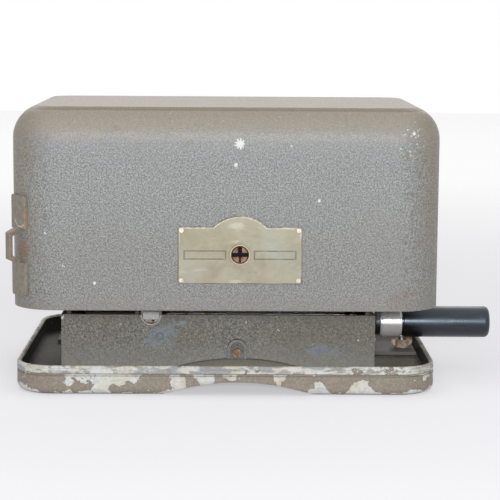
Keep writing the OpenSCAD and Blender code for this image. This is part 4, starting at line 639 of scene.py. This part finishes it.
def screw_metal():
    """Brown old screw in the notch, with painted highlights on its edges and painted shade, black, in its
    slot.
    """
    f = Finish("screw_metal", rough=0.4, metal=0.6)
    cloud = f.noise(420, 4.0, 0.6)
    base = f.mix(f.span(cloud, 0.34, 0.66), rgb(84, 68, 52), rgb(150, 130, 104))
    # Painted highlights along the edges.
    base = f.over(base, rgb(206, 196, 176), f.edge(0.01, 0.2), 0.8)
    # Painted shade: black in the slot.
    slot = f.span(f.y, -0.0503, -0.0499)
    base = f.over(base, rgb(22, 18, 14), slot)
    return f.done(base, f.span(cloud, 0.3, 0.7, 0.32, 0.5), f.bump(cloud, 0.00008))


def chrome():
    """Plated ferrule with small pits; its white diffuse share is a painted reflection of the bright
    surroundings.
    """
    f = Finish("chrome", rough=0.2, metal=0.55)
    pits = f.span(f.noise(700, 4.0, 0.6), 0.62, 0.7)
    haze = f.noise(120, 4.0)
    base = f.mix(f.span(haze, 0.4, 0.7), rgb(240, 237, 235), rgb(248, 248, 250))
    base = f.over(base, rgb(128, 108, 96), pits, 0.7)
    rough_at = f.add(f.span(haze, 0.4, 0.7, 0.16, 0.24), f.times(pits, 0.4))
    return f.done(base, rough_at, f.bump(f.less(haze, pits), 0.00003))


def black_gloss(name, tint, worn, rough):
    """Black moulded or enamelled surface with handling marks."""
    f = Finish(name, rough=rough, round_edge=0.0008)
    # Bluish tint of the reflections, a painted reflection of a bluish light.
    f.set("Specular Tint", (0.72, 0.85, 1.0, 1.0))
    f.set("Specular IOR Level", 0.8)
    scuff = f.noise(320, 6.0, 0.65, f.stretch(0.25, 1, 1))
    base = f.over(tint, worn, f.span(scuff, 0.5, 0.72, 0.0, 0.6))
    base = f.over(base, worn, f.edge(0.03, 0.3), 0.35)
    specks = f.span(f.cells(260), 0.05, 0.03, 0.0, 0.5)
    base = f.over(base, rgb(120, 120, 122), specks)
    smear = f.noise(60, 3.0)
    rough_at = f.add(f.span(smear, 0.35, 0.7, rough * 0.8, rough * 1.3),
                     f.span(scuff, 0.55, 0.72, 0.0, 0.12))
    return f.done(base, rough_at, f.bump(scuff, 0.00003))


def white_plastic():
    """Yellowed white, browned along its edges."""
    f = Finish("white_plastic", rough=0.35)
    age = f.noise(140, 5.0, 0.6)
    base = f.mix(f.span(age, 0.35, 0.68), rgb(226, 220, 200), rgb(206, 194, 162))
    base = f.over(base, rgb(150, 132, 104), f.edge(), 0.4)
    return f.done(base, f.span(age, 0.3, 0.7, 0.3, 0.42), f.bump(age, 0.00004))


def paper():
    """Paper tape: fibres and the edges of the turns on its roll."""
    roll_y, roll_z = 0.028, 0.075
    radians_per_metre = 9000.0
    f = Finish("paper", rough=0.85)
    fibre = f.noise(1400, 4.0, 0.7, f.stretch(1, 0.3, 1))
    base = f.mix(f.span(fibre, 0.3, 0.7), rgb(214, 204, 176), rgb(232, 226, 206))
    reach = f.length(f.less(f.y, roll_y), f.less(f.z, roll_z))
    turns = f.calc("SINE", f.times(reach, radians_per_metre))
    base = f.over(base, rgb(176, 164, 132), f.span(turns, 0.2, 1.0, 0.0, 0.35))
    return f.done(base, None, f.bump(f.add(fibre, f.times(turns, 0.3)), 0.00005))


def ink_rubber():
    """Inked felt and rubber."""
    f = Finish("ink_rubber", rough=0.7)
    felt = f.noise(1200, 4.0, 0.7)
    base = f.mix(f.span(felt, 0.35, 0.68), rgb(26, 24, 32), rgb(58, 54, 66))
    base = f.over(base, rgb(40, 30, 58), f.span(f.noise(110, 4.0), 0.5, 0.7, 0.0, 0.5))
    return f.done(base, f.span(felt, 0.3, 0.7, 0.6, 0.85), f.bump(felt, 0.00012))


# Scales of the tool marks: even, or drawn out along one axis.
EVEN, ALONG_X, ALONG_Y = (1, 1, 1), (0.2, 1, 1), (1, 0.12, 1)

# Dark and light tone, roughness, tool marks, share of dirt, metalness.
metals = {
    "steel": (rgb(168, 168, 166), rgb(206, 206, 204), 0.32, EVEN, 0.35, 1.0),
    "sheet_steel": (rgb(150, 150, 146), rgb(186, 186, 182), 0.42, ALONG_Y, 0.45, 1.0),
    "dark_steel": (rgb(84, 70, 54), rgb(108, 93, 74), 0.55, ALONG_Y, 0.4, 0.2),
    "block_metal": (rgb(158, 158, 155), rgb(178, 178, 175), 0.5, EVEN, 0.15, 0.0),
    "dull_rivet": (rgb(104, 110, 115), rgb(132, 139, 144), 0.5, EVEN, 0.3, 0.2),
    "brass": (rgb(176, 138, 74), rgb(216, 180, 112), 0.3, EVEN, 0.4, 1.0),
    "wheel_alloy": (rgb(160, 164, 168), rgb(204, 208, 212), 0.34, ALONG_X, 0.3, 1.0),
}

finishes = {name: bright_metal(name, *look) for name, look in metals.items()}
finishes.update({
    "hood_paint": hood_paint(),
    "loop_paint": loop_paint(),
    "tray_paint": tray_paint(),
    "housing_paint": housing_paint(),
    "lug_paint": lug_paint(),
    "plate_metal": plate_metal(),
    "rivet_metal": rivet_metal(),
    "rusty_steel": rusty_metal("rusty_steel", rgb(148, 124, 106), rgb(196, 176, 158)),
    "copper_screw": rusty_metal("copper_screw", rgb(122, 88, 70), rgb(176, 138, 114)),
    "lock_metal": lock_metal(),
    "screw_metal": screw_metal(),
    "chrome": chrome(),
    "black_enamel": black_gloss("black_enamel", rgb(24, 24, 24), rgb(66, 62, 58), 0.34),
    "black_plastic": black_gloss("black_plastic", rgb(16, 16, 17), rgb(46, 45, 44), 0.33),
    "white_plastic": white_plastic(),
    "paper": paper(),
    "ink_rubber": ink_rubber(),
})

# Nodes whose finish differs from that of their slot in the record.
own_finish = {
    "strap_loops": "loop_paint", "hood_ledges": "dark_steel", "spacer_block": "block_metal",
    "left_plate": "dark_steel", "middle_plate": "dark_steel", "right_plate": "dark_steel",
    "lock_keeper": "sheet_steel", "lock_cam": "sheet_steel", "print_hammer": "sheet_steel",
    "plate_rivets": "rivet_metal", "lock_barrel": "lock_metal", "block_screw": "screw_metal",
    "clamp_lug": "lug_paint", "front_rivet": "dull_rivet", "clamp_screw": "copper_screw",
}
slot_of = {p["node"]: p["material_slot"] for p in frame["record"]["subparts"]}

for name, obj in nodes.items():
    obj.data.materials.clear()
    obj.data.materials.append(finishes[own_finish.get(name, slot_of[name])])


# Floor, surroundings and lights

def floor_finish():
    """Pale and matt. It keeps the object's shadow and fades into the white surroundings."""
    f = Finish("floor", rough=0.9)
    f.set("Specular IOR Level", 0.0)
    f.done(f.mix(f.noise(3, 2.0), rgb(232, 235, 244), rgb(238, 241, 250)))
    # The camera and reflections see it paler than its light alone would make it, least near the tray, which
    # paints a shadow round it.
    shown = f.shown()
    lift = f.span(f.y, 0.02, -0.10, 0.54, 0.76)
    under_x, under_y = 0.100, 0.067
    tray_shadow = f.span(f.past_corner(under_x, under_y), 0.006, 0.036, 0.62, 1.0)
    glow = f.node("ShaderNodeEmission", Color=rgb(250, 249, 252))
    pale = f.blend(f.times(shown, lift, tray_shadow), f.shader, glow)
    # Far from the object, and soonest towards the front, it fades.
    far = f.span(f.apart(f.place, (mid_x, 0.0, 0.0)), 0.28, 1.3, 0.0, 0.8)
    fade = f.most(far, f.times(shown, f.span(f.y, -0.14, -0.48, 0.0, 0.85)))
    surface = f.blend(fade, pale, f.node("ShaderNodeBsdfTransparent"))
    f.put(f.tree.nodes["Material Output"].inputs["Surface"], surface.outputs[0])
    return f.mat


floor_half, floor_front, floor_back, floor_z = 4, -4, 2.66, -0.0002
floor_mesh = bpy.data.meshes.new("floor")
floor_corners = [(-floor_half, floor_front, floor_z), (floor_half, floor_front, floor_z),
                 (floor_half, floor_back, floor_z), (-floor_half, floor_back, floor_z)]
floor_mesh.from_pydata(floor_corners, [], [(0, 1, 2, 3)])
floor_mesh.materials.append(floor_finish())
floor = bpy.data.objects.new("floor", floor_mesh)
bpy.context.scene.collection.objects.link(floor)

# White where they show. What lights the object is soft and a little warm, and brighter from above.
world = bpy.data.worlds.new("world")
world.use_nodes = True
bpy.context.scene.world = world
w = Nodes(world.node_tree)
shown = w.shown()
steepness = w.axes(w.node("ShaderNodeTexCoord").outputs["Generated"])[2]
sky = w.span(steepness, 0.0, 0.9, 0.24, 0.5, "LINEAR")
warm, white = (1.0, 0.945, 0.87, 1.0), (1.0, 1.0, 1.0, 1.0)
back = w.tree.nodes["Background"]
w.put(back.inputs["Strength"], w.span(shown, 0.0, 1.0, sky, 1.0, "LINEAR"))
w.put(back.inputs["Color"], w.mix(shown, warm, white))


def area_light(name, place, aim, size, watts, colour):
    data = bpy.data.lights.new(name, "AREA")
    data.shape = "RECTANGLE"
    data.size, data.size_y = size
    data.energy = watts
    data.color = colour
    light = bpy.data.objects.new(name, data)
    light.location = place
    light.rotation_euler = (Vector(aim) - Vector(place)).to_track_quat("-Z", "Y").to_euler()
    bpy.context.scene.collection.objects.link(light)


area_light("key", place=(mid_x + 0.04, -1.35, 0.33), aim=(mid_x, -0.07, 0.09),
           size=(0.34, 0.12), watts=11.4, colour=(0.95, 0.98, 1.0))
area_light("top", place=(mid_x, 0.0, 1.7), aim=(mid_x, 0.0, 0.1),
           size=(2.4, 2.0), watts=3.8, colour=(1.0, 0.95, 0.88))
area_light("rear", place=(mid_x, 1.7, 1.2), aim=(mid_x, 0.07, 0.1),
           size=(2.0, 1.2), watts=11.5, colour=(1.0, 0.97, 0.93))

bpy.context.scene.view_settings.view_transform = "Standard"
